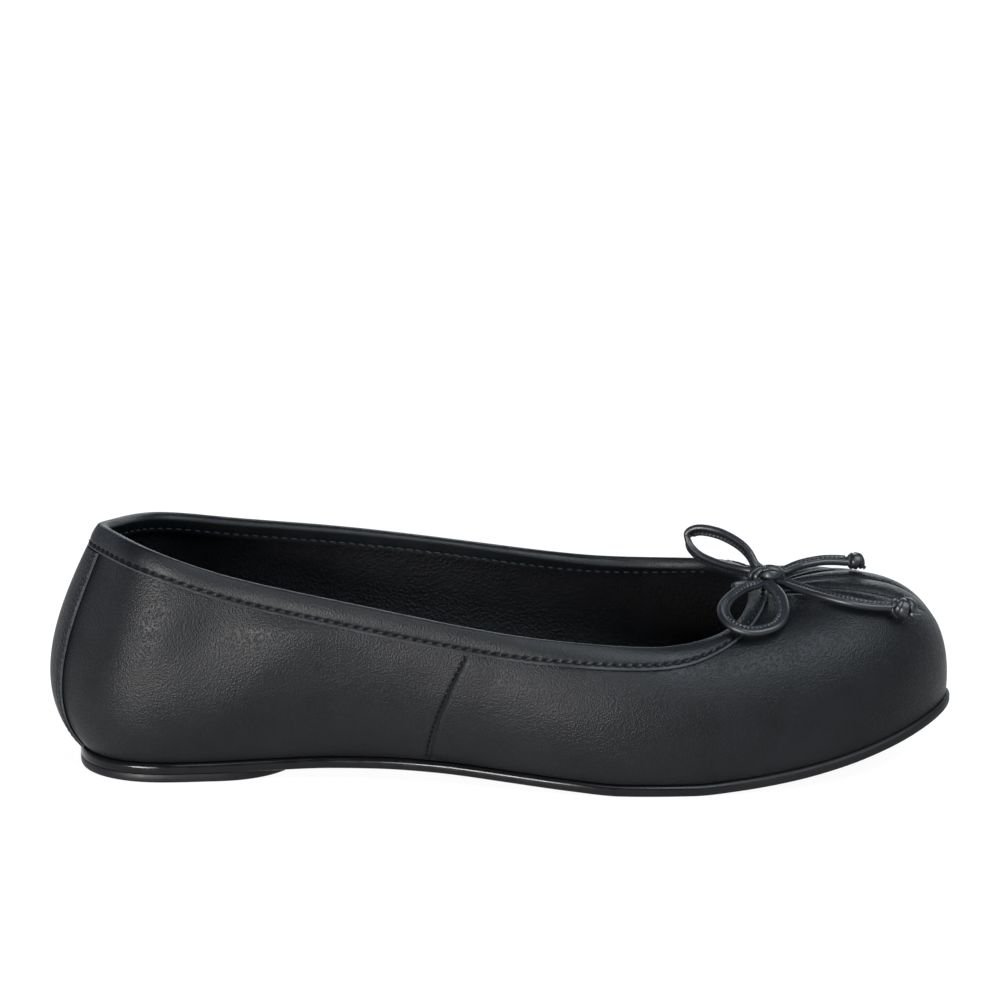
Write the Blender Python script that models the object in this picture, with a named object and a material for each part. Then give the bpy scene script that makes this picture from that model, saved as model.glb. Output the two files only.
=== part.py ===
"""Ballet flat for a right foot: a soft leather upper on a thin sole, with a bound topline and a lace bow.

The shoe stands on its sole. +X is the toe, +Y the inner (medial) side of the foot, +Z up.
Outer (lateral) rows of a table have negative shares across, inner rows positive ones.
"""
import math

import bpy
import numpy as np

MM = 0.001

# Driving sizes
SOLE_LENGTH = 240 * MM
BALL_WIDTH = 79 * MM
HEEL_SEAT_WIDTH = 52 * MM
BACK_HEIGHT = 65 * MM
THROAT_HEIGHT = 45 * MM
OUTSOLE_THICKNESS = 3.0 * MM
HEEL_HEIGHT = 2.3 * MM
ARCH_HEIGHT = 3.4 * MM
TOE_SPRING = 15.0 * MM
INSOLE_THICKNESS = 2.0 * MM
UPPER_WALL = 1.3 * MM
BINDING_THICKNESS = 0.8 * MM
BINDING_DEPTH_OUTSIDE = 7.1 * MM
BINDING_DEPTH_THROAT = 5.8 * MM
BINDING_DEPTH_INSIDE = 5.2 * MM
BACKSTAY_THICKNESS = 0.8 * MM
BACKSTAY_WIDTH = 21 * MM
LACE_WIDTH = 3.5 * MM
LACE_FOLD_THICKNESS = 1.9 * MM
LACE_FLANGE_THICKNESS = 1.0 * MM
BOW_KNOT_SIZE = (10.6 * MM, 7.0 * MM, 5.4 * MM)
TAIL_KNOT_LATERAL_SIZE = (8.0 * MM, 6.4 * MM, 5.8 * MM)
TAIL_KNOT_MEDIAL_SIZE = (5.6 * MM, 5.0 * MM, 4.8 * MM)

# Clearances and small steps
FIT = 0.3 * MM
SOLE_LEDGE = 1.0 * MM
SOLE_BEVEL = 0.6 * MM
SEAM_STEP = 0.5 * MM
SEAM_RAMP = 1.2 * MM
SEAM_FADE = 14 * MM
FOLD_DEPTH = 1.5 * MM
FOLD_WIDTH = 2.4 * MM
FOLD_PUFF = 0.7 * MM
EDGE_SINK = FIT + BINDING_THICKNESS

# Facets
COARSE_STEP = 9 * MM
TOE_STEP = 3.2 * MM
RISE_ROWS = 9
PAD_STATIONS = 34
LIFT_STATIONS = 18
MERIDIAN_SAMPLES = 61
PLAN_SAMPLES = 1200
PROBE = 0.2 * MM

# Along and across the plan, as shares of the sole's length and of the half width there.
# Heights and handles are shares of the height there: belly and rise lead out of the feather
# edge, outwards and upwards, and crown and dip lead out of the topline, outwards and downwards.
SECTION_COLUMNS = ("foot_x", "foot_y", "edge_x", "edge_y", "edge_z", "belly", "rise", "crown", "dip")
SECTIONS = {
    "heel_back":            (0.000,  0.00, 0.030,  0.000, 1.017, 0.254, 0.223, 0.154,  0.308),
    "heel_corner_lateral":  (0.015, -0.61, 0.043, -0.290, 1.021, 0.170, 0.200, 0.131,  0.301),
    "heel_turn_lateral":    (0.060, -0.94, 0.079, -0.754, 1.015, 0.132, 0.194, 0.132,  0.295),
    "heel_side_lateral":    (0.142, -0.98, 0.158, -0.946, 0.949, 0.104, 0.191, 0.112,  0.287),
    "waist_lateral":        (0.267, -0.84, 0.283, -0.980, 0.905, 0.111, 0.205, 0.111,  0.273),
    "seam_lateral":         (0.404, -0.81, 0.438, -0.913, 0.876, 0.124, 0.229, 0.133,  0.257),
    "joint_lateral":        (0.500, -0.89, 0.521, -0.870, 0.869, 0.121, 0.243, 0.172,  0.233),
    "ball_lateral":         (0.596, -0.96, 0.602, -0.822, 0.868, 0.106, 0.255, 0.223,  0.213),
    "tread_lateral":        (0.688, -0.96, 0.667, -0.754, 0.867, 0.098, 0.263, 0.263,  0.153),
    "forefoot_lateral":     (0.783, -0.88, 0.717, -0.613, 0.891, 0.100, 0.310, 0.355,  0.055),
    "toe_side_lateral":     (0.875, -0.73, 0.746, -0.418, 0.924, 0.089, 0.411, 0.533, -0.078),
    "toe_corner_lateral":   (0.948, -0.49, 0.760, -0.203, 0.964, 0.067, 0.600, 0.689, -0.167),
    "toe_tip":              (1.000,  0.10, 0.765,  0.038, 1.009, 0.056, 0.744, 0.700, -0.184),
    "toe_corner_medial":    (0.960,  0.55, 0.760,  0.266, 1.036, 0.067, 0.678, 0.689, -0.151),
    "toe_side_medial":      (0.887,  0.87, 0.744,  0.471, 1.049, 0.089, 0.467, 0.533, -0.089),
    "forefoot_medial":      (0.796,  1.02, 0.715,  0.646, 1.055, 0.089, 0.332, 0.355,  0.033),
    "tread_medial":         (0.700,  1.03, 0.662,  0.747, 1.036, 0.098, 0.284, 0.262,  0.131),
    "ball_medial":          (0.592,  0.90, 0.588,  0.791, 1.015, 0.116, 0.253, 0.211,  0.211),
    "joint_medial":         (0.485,  0.73, 0.500,  0.832, 1.014, 0.129, 0.248, 0.158,  0.258),
    "seam_medial":          (0.380,  0.67, 0.405,  0.892, 1.010, 0.137, 0.238, 0.119,  0.274),
    "waist_medial":         (0.260,  0.78, 0.280,  0.939, 0.995, 0.127, 0.221, 0.110,  0.289),
    "heel_side_medial":     (0.142,  0.96, 0.158,  0.938, 0.979, 0.104, 0.199, 0.112,  0.295),
    "heel_turn_medial":     (0.060,  0.94, 0.077,  0.754, 0.991, 0.132, 0.202, 0.132,  0.295),
    "heel_corner_medial":   (0.015,  0.61, 0.043,  0.290, 1.008, 0.170, 0.200, 0.131,  0.301),
}
TOE_SECTIONS = ("toe_side_lateral", "toe_corner_lateral", "toe_tip", "toe_corner_medial", "toe_side_medial")
SEAM_SECTIONS = {"seam_lateral": 1, "seam_medial": -1}
SEAM_FOOT_FADE = (0.0, 0.1)
SEAM_HEAD_FADE = (0.86, 0.78)
WIDTH_BLEND = (0.15, 0.65)
HEIGHT_BLEND = (0.0, 0.75)
COLLAR_LEAN = 0.25 * HEEL_SEAT_WIDTH

# The outsole's underside: share of the sole's length, the height that it follows, share of that.
PROFILE = (
    (-0.05, HEEL_HEIGHT, 1.00),
    (0.15, HEEL_HEIGHT, 1.00),
    (0.22, ARCH_HEIGHT, 0.80),
    (0.29, ARCH_HEIGHT, 0.97),
    (0.35, ARCH_HEIGHT, 1.00),
    (0.41, ARCH_HEIGHT, 0.91),
    (0.49, ARCH_HEIGHT, 0.59),
    (0.56, ARCH_HEIGHT, 0.26),
    (0.62, TOE_SPRING, 0.00),
    (0.70, TOE_SPRING, 0.00),
    (0.75, TOE_SPRING, 0.06),
    (0.81, TOE_SPRING, 0.18),
    (0.87, TOE_SPRING, 0.37),
    (0.92, TOE_SPRING, 0.59),
    (0.96, TOE_SPRING, 0.79),
    (1.00, TOE_SPRING, 1.00),
    (1.05, TOE_SPRING, 1.27),
)

# Pleats fan out from the throat over the toe: place across at their widest, as a share of the
# ball's width, depth as a share of FOLD_DEPTH, and where up the wall each one begins.
FOLDS = {
    "pleat_outer_lateral": (-0.215, 0.8, 0.52),
    "pleat_inner_lateral": (-0.125, 1.0, 0.30),
    "pleat_middle":        (0.015,  1.0, 0.22),
    "pleat_inner_medial":  (0.155,  1.0, 0.30),
    "pleat_outer_medial":  (0.245,  0.8, 0.52),
}
FOLD_PINCH = 0.35
FOLD_FAN_FOOT = 0.2
FOLD_PUFF_FULL = 0.5
FOLD_HEAD_FADE = (0.97, 0.87)
FOLD_RUN_IN = 0.2

# The heel lift's front is a rounded bow across the seat.
LIFT_SIDE_END = 0.165
LIFT_FRONT = 0.255
LIFT_ROUNDNESS = 2.2

# The bow: centre lines from the middle of the knot, in mm along, across and up, chosen by hand.
LOOP_LATERAL_ROUTE = (
    (-2.9, -4.5, -1.2),
    (-6.4, -7.3, -1.6),
    (-10.3, -12.3, -2.7),
    (-12.6, -18.3, -3.8),
    (-12.5, -23.3, -5.1),
    (-10.3, -26.5, -6.6),
    (-6.7, -27.8, -7.6),
    (-2.6, -27.2, -7.6),
    (1.4, -25.0, -6.7),
    (3.3, -20.7, -4.8),
    (3.2, -14.4, -2.8),
    (2.0, -9.5, -1.7),
    (0.6, -5.3, -1.3),
)
LOOP_MEDIAL_ROUTE = (
    (-3.0, 2.3, 2.1),
    (-4.8, 4.9, 4.9),
    (-7.6, 7.7, 7.0),
    (-12.1, 11.7, 8.5),
    (-16.7, 14.2, 9.0),
    (-19.6, 15.2, 8.4),
    (-21.0, 15.7, 6.6),
    (-20.6, 14.7, 4.3),
    (-18.3, 12.7, 2.2),
    (-15.4, 10.6, 1.1),
    (-11.1, 7.2, 0.4),
    (-6.4, 3.4, 0.3),
)
TAIL_LATERAL_ROUTE = (
    (4.6, -3.0, -1.1),
    (8.7, -7.2, -1.5),
    (13.7, -12.4, -1.7),
    (20.3, -16.1, -2.5),
    (26.5, -16.9, -3.5),
    (32.2, -15.9, -4.1),
)
TAIL_MEDIAL_ROUTE = (
    (5.0, 2.3, 0.7),
    (9.5, 5.6, 1.5),
    (15.1, 7.6, 2.1),
    (19.3, 8.5, 2.0),
    (22.2, 8.9, 1.7),
)
# Each lace lies flat, its face looking along the direction, or stands, its width along it.
LACES = {
    "bow_loop_lateral": (LOOP_LATERAL_ROUTE, "flat", (0.00, -0.35, 0.94)),
    "bow_loop_medial": (LOOP_MEDIAL_ROUTE, "standing", (0.00, -0.74, 0.67)),
    "bow_tail_lateral": (TAIL_LATERAL_ROUTE, "flat", (0.00, -0.40, 0.92)),
    "bow_tail_medial": (TAIL_MEDIAL_ROUTE, "flat", (-0.30, -0.45, 0.84)),
}
TAIL_KNOTS = {
    "tail_knot_lateral": (TAIL_LATERAL_ROUTE, TAIL_KNOT_LATERAL_SIZE),
    "tail_knot_medial": (TAIL_MEDIAL_ROUTE, TAIL_KNOT_MEDIAL_SIZE),
}
LACE_FACET = 3.0 * MM
LACE_FOLD_TURNS = (math.radians(50), math.radians(90))
ROUTE_SAMPLES = 12

# Knots: the lace's two turns swell the girth, and the ends are blunt.
KNOT_ROWS = 8
KNOT_SIDES = 12
KNOT_TURNS = 2
KNOT_SWELL = 0.10
KNOT_BLUNTNESS = 0.7
BOW_SEAT_SHARE = 1.1

MATERIALS = {
    "leather":  ((0.021, 0.022, 0.025), 0.42),
    "binding":  ((0.026, 0.028, 0.032), 0.38),
    "lining":   ((0.010, 0.010, 0.011), 0.80),
    "rubber":   ((0.016, 0.016, 0.017), 0.35),
}

Z_AXIS = np.array([0.0, 0.0, 1.0])


def smooth(low, high, value):
    """A soft step from 0 at low to 1 at high."""
    share = np.clip((np.asarray(value, float) - low) / (high - low), 0.0, 1.0)
    return share * share * (3.0 - 2.0 * share)


def unit(vectors):
    return vectors / np.linalg.norm(vectors, axis=-1, keepdims=True)


def half_width(along):
    """Half the width that a section's shares across refer to, at a share along the sole."""
    return 0.5 * (HEEL_SEAT_WIDTH + (BALL_WIDTH - HEEL_SEAT_WIDTH) * smooth(*WIDTH_BLEND, along))


def wall_height(along):
    """The height that a section's shares upwards refer to, at a share along the sole."""
    return BACK_HEIGHT + (THROAT_HEIGHT - BACK_HEIGHT) * smooth(*HEIGHT_BLEND, along)


def section_sizes():
    """The table of sections in metres, a row for each and a column for each name."""
    share = {name: np.array([row[i] for row in SECTIONS.values()]) for i, name in enumerate(SECTION_COLUMNS)}
    height = wall_height(share["edge_x"])
    return np.column_stack([
        share["foot_x"] * SOLE_LENGTH,
        share["foot_y"] * half_width(share["foot_x"]),
        share["edge_x"] * SOLE_LENGTH,
        share["edge_y"] * half_width(share["edge_x"]),
        share["edge_z"] * height,
        share["belly"] * height,
        share["rise"] * height,
        share["crown"] * height,
        share["dip"] * height,
    ])


def closed_spline(knots, values, period, places):
    """A smooth closed curve through a row of values at each knot."""
    count = len(knots)
    step = np.diff(np.append(knots, knots[0] + period))
    slope = (np.roll(values, -1, axis=0) - values) / step[:, None]
    matrix = np.zeros((count, count))
    right = np.zeros_like(values)
    for i in range(count):
        before = i - 1
        matrix[i, before] += step[before]
        matrix[i, i] += 2.0 * (step[before] + step[i])
        matrix[i, (i + 1) % count] += step[i]
        right[i] = 6.0 * (slope[i] - slope[before])
    bend = np.linalg.solve(matrix, right)
    places = np.mod(np.asarray(places, float), period)
    k = np.clip(np.searchsorted(knots, places, side="right") - 1, 0, count - 1)
    after = (k + 1) % count
    gap = step[k][:, None]
    far = (places - knots[k])[:, None]
    start = slope[k] - gap * (2.0 * bend[k] + bend[after]) / 6.0
    return values[k] + far * start + far ** 2 * bend[k] / 2.0 + far ** 3 * (bend[after] - bend[k]) / (6.0 * gap)


def steady_spline(knots, values, places):
    """A curve through a table of heights that never overshoots them."""
    step = np.diff(knots)
    slope = np.diff(values) / step
    lean = np.concatenate([slope[:1], np.zeros(len(knots) - 2), slope[-1:]])
    for i in range(1, len(knots) - 1):
        if slope[i - 1] * slope[i] > 0.0:
            before = 2.0 * step[i] + step[i - 1]
            after = step[i] + 2.0 * step[i - 1]
            lean[i] = (before + after) / (before / slope[i - 1] + after / slope[i])
    places = np.clip(places, knots[0], knots[-1])
    k = np.clip(np.searchsorted(knots, places, side="right") - 1, 0, len(knots) - 2)
    t = (places - knots[k]) / step[k]
    low = (1.0 + 2.0 * t) * (1.0 - t) ** 2 * values[k] + t * (1.0 - t) ** 2 * step[k] * lean[k]
    high = t * t * (3.0 - 2.0 * t) * values[k + 1] + t * t * (t - 1.0) * step[k] * lean[k + 1]
    return low + high


def underside(x):
    """Height of the outsole's underside above the floor."""
    along = np.array([row[0] for row in PROFILE]) * SOLE_LENGTH
    height = np.array([row[1] * row[2] for row in PROFILE])
    return steady_spline(along, height, np.asarray(x, float))


class Last:
    """The surface that the upper is drawn over: meridians from the feather edge to the topline."""

    def __init__(self):
        self.sizes = section_sizes()
        feather = self.sizes[:, :2]
        chords = np.linalg.norm(np.roll(feather, -1, axis=0) - feather, axis=1)
        self.perimeter = float(chords.sum())
        self.knots = np.concatenate([[0.0], np.cumsum(chords)[:-1]])
        self.place = dict(zip(SECTIONS, self.knots))

    def around(self, places):
        return closed_spline(self.knots, self.sizes, self.perimeter, places)

    def outward(self, places):
        """Level unit vectors out of the sole's outline."""
        places = np.asarray(places, float)
        run = self.around(places + PROBE)[:, :2] - self.around(places - PROBE)[:, :2]
        return unit(np.column_stack([run[:, 1], -run[:, 0]]))

    def sole_edge(self, places, inset=0.0):
        return self.around(places)[:, :2] - inset * self.outward(places)

    def meridians(self, places, samples=MERIDIAN_SAMPLES):
        """Points of the bare surface, a row for each place around and a column up the wall."""
        row = self.around(places)
        out = np.column_stack([self.outward(places), np.zeros(len(places))])
        foot = self.sole_edge(places, SOLE_LEDGE)
        start = np.column_stack([foot, underside(foot[:, 0]) + OUTSOLE_THICKNESS + FIT])
        end = row[:, 2:5]
        away = start - end + COLLAR_LEAN * out
        away[:, 2] = 0.0
        away = unit(away)
        low = start + out * row[:, 5:6] + Z_AXIS * row[:, 6:7]
        high = end + away * row[:, 7:8] - Z_AXIS * row[:, 8:9]
        t = np.linspace(0.0, 1.0, samples)[None, :, None]
        curve = (1.0 - t) ** 3 * start[:, None] + 3.0 * t * (1.0 - t) ** 2 * low[:, None]
        return curve + 3.0 * t * t * (1.0 - t) * high[:, None] + t ** 3 * end[:, None]

    def normals(self, places, samples=MERIDIAN_SAMPLES):
        ahead = self.meridians(np.asarray(places) + PROBE, samples)
        behind = self.meridians(np.asarray(places) - PROBE, samples)
        up = np.gradient(self.meridians(places, samples), axis=1)
        return unit(np.cross(ahead - behind, up))


def signed_gap(places, middle, perimeter):
    """Distance around the sole from middle, the short way, positive ahead of it."""
    return (np.asarray(places) - middle + 0.5 * perimeter) % perimeter - 0.5 * perimeter


def seam_lift(last, places, samples=MERIDIAN_SAMPLES):
    """The vamp laps the quarter at each side seam: a step that fades forwards and at both ends."""
    lift = np.zeros(len(places))
    for name, forwards in SEAM_SECTIONS.items():
        ahead = signed_gap(places, last.place[name], last.perimeter) * forwards
        step = smooth(-0.5 * SEAM_RAMP, 0.5 * SEAM_RAMP, ahead)
        lift += SEAM_STEP * step * (1.0 - smooth(0.0, SEAM_FADE, ahead))
    t = np.linspace(0.0, 1.0, samples)
    ends = smooth(*SEAM_FOOT_FADE, t) * smooth(*SEAM_HEAD_FADE, t)
    return lift[:, None] * ends[None, :]


def fold_lift(last, places, samples=MERIDIAN_SAMPLES):
    """Height of the pleats over the bare surface: soft puffs with valleys between them."""
    t = np.linspace(0.0, 1.0, samples)[None, :]
    ahead = signed_gap(places, last.place["toe_tip"], last.perimeter)[:, None]
    up = np.clip((t - FOLD_FAN_FOOT) / (1.0 - FOLD_FAN_FOOT), 0.0, 1.0)
    spread = FOLD_PINCH + (1.0 - FOLD_PINCH) * np.sin(math.pi * up)
    widest = max(abs(row[0]) for row in FOLDS.values()) * BALL_WIDTH
    puff = np.exp(-(ahead / (widest * spread + FOLD_WIDTH)) ** 4)
    lift = FOLD_PUFF * puff * smooth(FOLD_FAN_FOOT, FOLD_PUFF_FULL, t) * smooth(*FOLD_HEAD_FADE, t)
    for across, depth, reach in FOLDS.values():
        middle = across * BALL_WIDTH * spread
        valley = np.exp(-((ahead - middle) / FOLD_WIDTH) ** 2)
        fade = smooth(reach, reach + FOLD_RUN_IN, t) * smooth(*FOLD_HEAD_FADE, t)
        lift = lift - FOLD_DEPTH * depth * valley * fade
    return lift


class Wall:
    """The upper's outer surface at chosen places around, measured down from the topline."""

    def __init__(self, last, places):
        self.places = np.asarray(places)
        self.normals = last.normals(places)
        bare = last.meridians(places)
        lift = fold_lift(last, places) + seam_lift(last, places)
        self.points = bare + self.normals * lift[:, :, None]
        steps = np.linalg.norm(np.diff(self.points, axis=1), axis=2)
        down = np.cumsum(steps[:, ::-1], axis=1)[:, ::-1]
        self.down = np.column_stack([down, np.zeros(len(places))])
        self.length = self.down[:, 0]

    def ring(self, down, offset=0.0):
        """A closed row of points at a distance below the topline, moved out of the wall by offset."""
        down = np.broadcast_to(down, self.length.shape)
        rows = []
        for i, depth in enumerate(down):
            at = self.down[i, ::-1]
            point = [np.interp(depth, at, self.points[i, ::-1, k]) for k in range(3)]
            normal = [np.interp(depth, at, self.normals[i, ::-1, k]) for k in range(3)]
            rows.append(np.array(point) + offset * unit(np.array(normal)))
        return np.array(rows)


def sole_sides(last):
    """Dense places from the back to the toe's tip, along the lateral side and along the medial side."""
    places = np.linspace(0.0, last.perimeter, PLAN_SAMPLES + 1)
    tip = int(np.argmax(last.around(places)[:, 0]))
    return places[:tip + 1], places[tip:][::-1]


def paired_places(last, count):
    """Places around the sole in pairs straight across it, from the back to the toe."""
    turn = np.pi * np.arange(1, count) / count
    pairs = []
    for side in sole_sides(last):
        along = np.maximum.accumulate(last.around(side)[:, 0])
        stations = along[0] + (along[-1] - along[0]) * 0.5 * (1.0 - np.cos(turn))
        pairs.append(np.interp(stations, along, side))
    tip = sole_sides(last)[0][-1]
    return np.array([0.0, *pairs[0], tip, *pairs[1][::-1]])


def places_around(last):
    """Where the facets break: every section, finer over the toe, and close to each side seam."""
    names = list(SECTIONS)
    marks = []
    for i, name in enumerate(names):
        following = names[(i + 1) % len(names)]
        start = last.place[name]
        span = (last.place[following] - start) % last.perimeter
        fine = name in TOE_SECTIONS and following in TOE_SECTIONS
        count = max(1, math.ceil(span / (TOE_STEP if fine else COARSE_STEP)))
        marks += [start + span * k / count for k in range(count)]
    for name in SEAM_SECTIONS:
        marks.remove(last.place[name])
        marks += [last.place[name] - 0.5 * SEAM_RAMP, last.place[name] + 0.5 * SEAM_RAMP]
    half = 0.5 * BACKSTAY_WIDTH
    marks = [m for m in marks if abs(abs(signed_gap(m, 0.0, last.perimeter)) - half) > 0.5 * TOE_STEP]
    marks += [half, last.perimeter - half]
    return np.array(sorted(marks))


def add_object(name, vertices, faces, material):
    mesh = bpy.data.meshes.new(name)
    mesh.from_pydata([tuple(v) for v in vertices], [], faces)
    mesh.validate()
    mesh.shade_smooth()
    mesh.set_sharp_from_angle(angle=math.radians(40))
    mesh.materials.append(material)
    piece = bpy.data.objects.new(name, mesh)
    bpy.context.scene.collection.objects.link(piece)
    return piece


def join_rings(rings, closed_section, closed_around=True):
    """Quads between rings of equal length; a closed section also joins the last ring to the first."""
    count = len(rings[0])
    vertices = np.concatenate(rings)
    faces = []
    pairs = len(rings) if closed_section else len(rings) - 1
    for k in range(pairs):
        low = k * count
        high = ((k + 1) % len(rings)) * count
        for i in range(count if closed_around else count - 1):
            j = (i + 1) % count
            faces.append((low + i, low + j, high + j, high + i))
    return vertices, faces


def across_cap(count, first, upwards):
    """Fills a closed plan outline with strips straight across it, from back to toe."""
    faces = []
    for i in range(count // 2):
        left, left_on = i, i + 1
        right, right_on = (count - i) % count, count - i - 1
        corners = [left, left_on, right_on, right]
        corners = [c for k, c in enumerate(corners) if c not in corners[:k]]
        if len(corners) > 2:
            faces.append(tuple(first + c for c in (corners if upwards else corners[::-1])))
    return faces


def strip_pad(name, outline_low, outline_high, walls, material):
    """A closed pad from rings of an outline: low face, walls in between, high face."""
    rings = [outline_low, *walls, outline_high]
    vertices, faces = join_rings(rings, closed_section=False)
    count = len(outline_low)
    faces += across_cap(count, 0, upwards=False)
    faces += across_cap(count, (len(rings) - 1) * count, upwards=True)
    return add_object(name, vertices, faces, material)


def outline_at(last, places, inset, height):
    edge = last.sole_edge(places, inset)
    return np.column_stack([edge, underside(edge[:, 0]) + height])


def make_outsole(last, places, material):
    rings = [
        outline_at(last, places, SOLE_BEVEL, 0.0),
        outline_at(last, places, 0.0, SOLE_BEVEL),
        outline_at(last, places, 0.0, OUTSOLE_THICKNESS - SOLE_BEVEL),
        outline_at(last, places, SOLE_BEVEL, OUTSOLE_THICKNESS),
    ]
    return strip_pad("outsole", rings[0], rings[-1], rings[1:-1], material)


def lift_share(along):
    """How far across the sole the heel lift reaches: all of it, then a rounded front."""
    ahead = np.clip((along - LIFT_SIDE_END) / (LIFT_FRONT - LIFT_SIDE_END), 0.0, 1.0)
    return (1.0 - ahead ** LIFT_ROUNDNESS) ** (1.0 / LIFT_ROUNDNESS)


def lift_plan(last):
    """The heel lift's plan: the sole's own outline at the back and a rounded front."""
    turn = np.pi * np.arange(LIFT_STATIONS + 1) / LIFT_STATIONS
    along = LIFT_FRONT * 0.5 * (1.0 - np.cos(turn))
    edges = []
    for side in sole_sides(last):
        edge = last.sole_edge(side)
        edges.append(np.interp(along * SOLE_LENGTH, np.maximum.accumulate(edge[:, 0]), edge[:, 1]))
    middle = 0.5 * (edges[0] + edges[1])
    lateral, medial = (middle + (edge - middle) * lift_share(along) for edge in edges)
    across = np.concatenate([lateral, medial[1:-1][::-1]])
    return np.column_stack([np.concatenate([along, along[1:-1][::-1]]) * SOLE_LENGTH, across])


def inset_plan(plan, distance):
    """Moves a closed plan outline inwards along its own normals."""
    run = unit(np.roll(plan, -1, axis=0) - np.roll(plan, 1, axis=0))
    return plan + distance * np.column_stack([-run[:, 1], run[:, 0]])


def make_heel_lift(last, material):
    """A thin lift under the heel seat, its top following the outsole's underside."""
    plan = lift_plan(last)
    count = len(plan)
    foot = np.column_stack([inset_plan(plan, SOLE_BEVEL), np.zeros(count)])
    side = np.column_stack([plan, np.full(count, SOLE_BEVEL)])
    top = np.column_stack([plan, underside(plan[:, 0]) - FIT])
    return strip_pad("heel_lift", foot, top, [side], material)


def make_insole(last, places, material):
    """A thin sock that lies on the outsole inside the upper's wall."""
    inset = SOLE_LEDGE + UPPER_WALL + FIT
    low = outline_at(last, places, inset, OUTSOLE_THICKNESS + FIT)
    high = outline_at(last, places, inset, OUTSOLE_THICKNESS + FIT + INSOLE_THICKNESS)
    return strip_pad("insole", low, high, [], material)


def binding_depth(wall):
    """How far the binding reaches down outside: less over the throat than along the sides."""
    edge = wall.ring(0.0)[:, 0]
    throat = SECTIONS["toe_tip"][2] * SOLE_LENGTH
    narrow = smooth(0.88 * throat, 0.99 * throat, edge)
    return BINDING_DEPTH_OUTSIDE + (BINDING_DEPTH_THROAT - BINDING_DEPTH_OUTSIDE) * narrow


def wall_depths(wall):
    """The rows of the upper, from its edge under the binding down to the feather edge."""
    leg = binding_depth(wall)
    rows = [np.full(len(leg), EDGE_SINK), 0.5 * (EDGE_SINK + leg), leg]
    for k in range(1, RISE_ROWS + 1):
        share = k / RISE_ROWS
        rows.append(leg + (wall.length - leg) * share)
    return rows


def level_shift(ring, outward, distance):
    """Moves a ring straight out by a distance, without leaving its height."""
    moved = ring.copy()
    moved[:, :2] += distance * outward
    return moved


def make_upper(last, wall, material):
    """One hollow wall, open at the topline and along the feather edge."""
    depths = wall_depths(wall)
    outer = [wall.ring(d) for d in depths]
    inner = [wall.ring(d, -UPPER_WALL) for d in depths[:-1]]
    inner.append(level_shift(outer[-1], last.outward(wall.places), -UPPER_WALL))
    vertices, faces = join_rings(outer[::-1] + inner, closed_section=True)
    return add_object("upper", vertices, faces, material)


def make_binding(wall, material):
    """A folded strip that holds the topline between its two legs."""
    leg = binding_depth(wall)
    half = 0.5 * (EDGE_SINK + leg)
    inside = BINDING_DEPTH_INSIDE
    skin = FIT + BINDING_THICKNESS
    crest = 0.35 * BINDING_THICKNESS
    section = [
        (leg, FIT), (leg, skin), (half, skin), (EDGE_SINK, skin),
        (crest, 0.5 * skin), (0.0, -0.5 * UPPER_WALL), (crest, -UPPER_WALL - 0.5 * skin),
        (EDGE_SINK, -UPPER_WALL - skin), (inside, -UPPER_WALL - skin), (inside, -UPPER_WALL - FIT),
        (EDGE_SINK - FIT, -UPPER_WALL - FIT), (EDGE_SINK - FIT, FIT), (half, FIT),
    ]
    rings = [wall.ring(down, offset) for down, offset in section]
    vertices, faces = join_rings(rings, closed_section=True)
    return add_object("topline_binding", vertices, faces, material)


def make_backstay(last, wall, material):
    """A strip up the back of the heel, laid on the wall from the feather edge to the binding."""
    half = 0.5 * BACKSTAY_WIDTH + PROBE
    gap = signed_gap(wall.places, 0.0, last.perimeter)
    order = [i for i in np.argsort(gap) if abs(gap[i]) < half]
    depths = wall_depths(wall)[2:]
    depths[0] = depths[0] + FIT
    foot = wall.ring(depths.pop())
    outward = last.outward(wall.places)
    low, high = (
        [ring[order] for ring in [*(wall.ring(d, rise) for d in depths), level_shift(foot, outward, rise)]]
        for rise in (FIT, FIT + BACKSTAY_THICKNESS)
    )
    vertices, faces = join_rings(high[::-1] + low, closed_section=True, closed_around=False)
    count = len(order)
    rows = len(low) + len(high)
    faces.append(tuple(k * count for k in range(rows)))
    faces.append(tuple(k * count + count - 1 for k in range(rows))[::-1])
    return add_object("backstay", vertices, faces, material)


def smooth_route(points, step):
    """A Catmull-Rom curve through a route's points, read off at even steps."""
    points = np.array(points) * MM
    padded = np.concatenate([[2 * points[0] - points[1]], points, [2 * points[-1] - points[-2]]])
    dense = []
    for a, b, c, d in zip(padded, padded[1:], padded[2:], padded[3:]):
        for t in np.linspace(0.0, 1.0, ROUTE_SAMPLES, endpoint=False):
            cube = (-a + 3 * b - 3 * c + d) * t ** 3 + (2 * a - 5 * b + 4 * c - d) * t ** 2
            dense.append(0.5 * (cube + (c - a) * t + 2 * b))
    dense = np.array([*dense, points[-1]])
    along = np.concatenate([[0.0], np.cumsum(np.linalg.norm(np.diff(dense, axis=0), axis=1))])
    marks = np.linspace(0.0, along[-1], max(2, round(along[-1] / step)) + 1)
    return np.column_stack([np.interp(marks, along, dense[:, k]) for k in range(3)])


def lace_profile():
    """Section of the lace, across and through it: a round folded edge, then a thin flange."""
    fold = 0.5 * LACE_FOLD_THICKNESS
    flange = 0.5 * LACE_FLANGE_THICKNESS
    edge = 0.5 * LACE_WIDTH
    middle = edge - fold
    top = [(middle + fold * math.cos(turn), fold * math.sin(turn)) for turn in LACE_FOLD_TURNS]
    top += [(middle - fold, flange), (-edge, flange)]
    return [(edge, 0.0), *top, *((across, -through) for across, through in reversed(top))]


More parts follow.
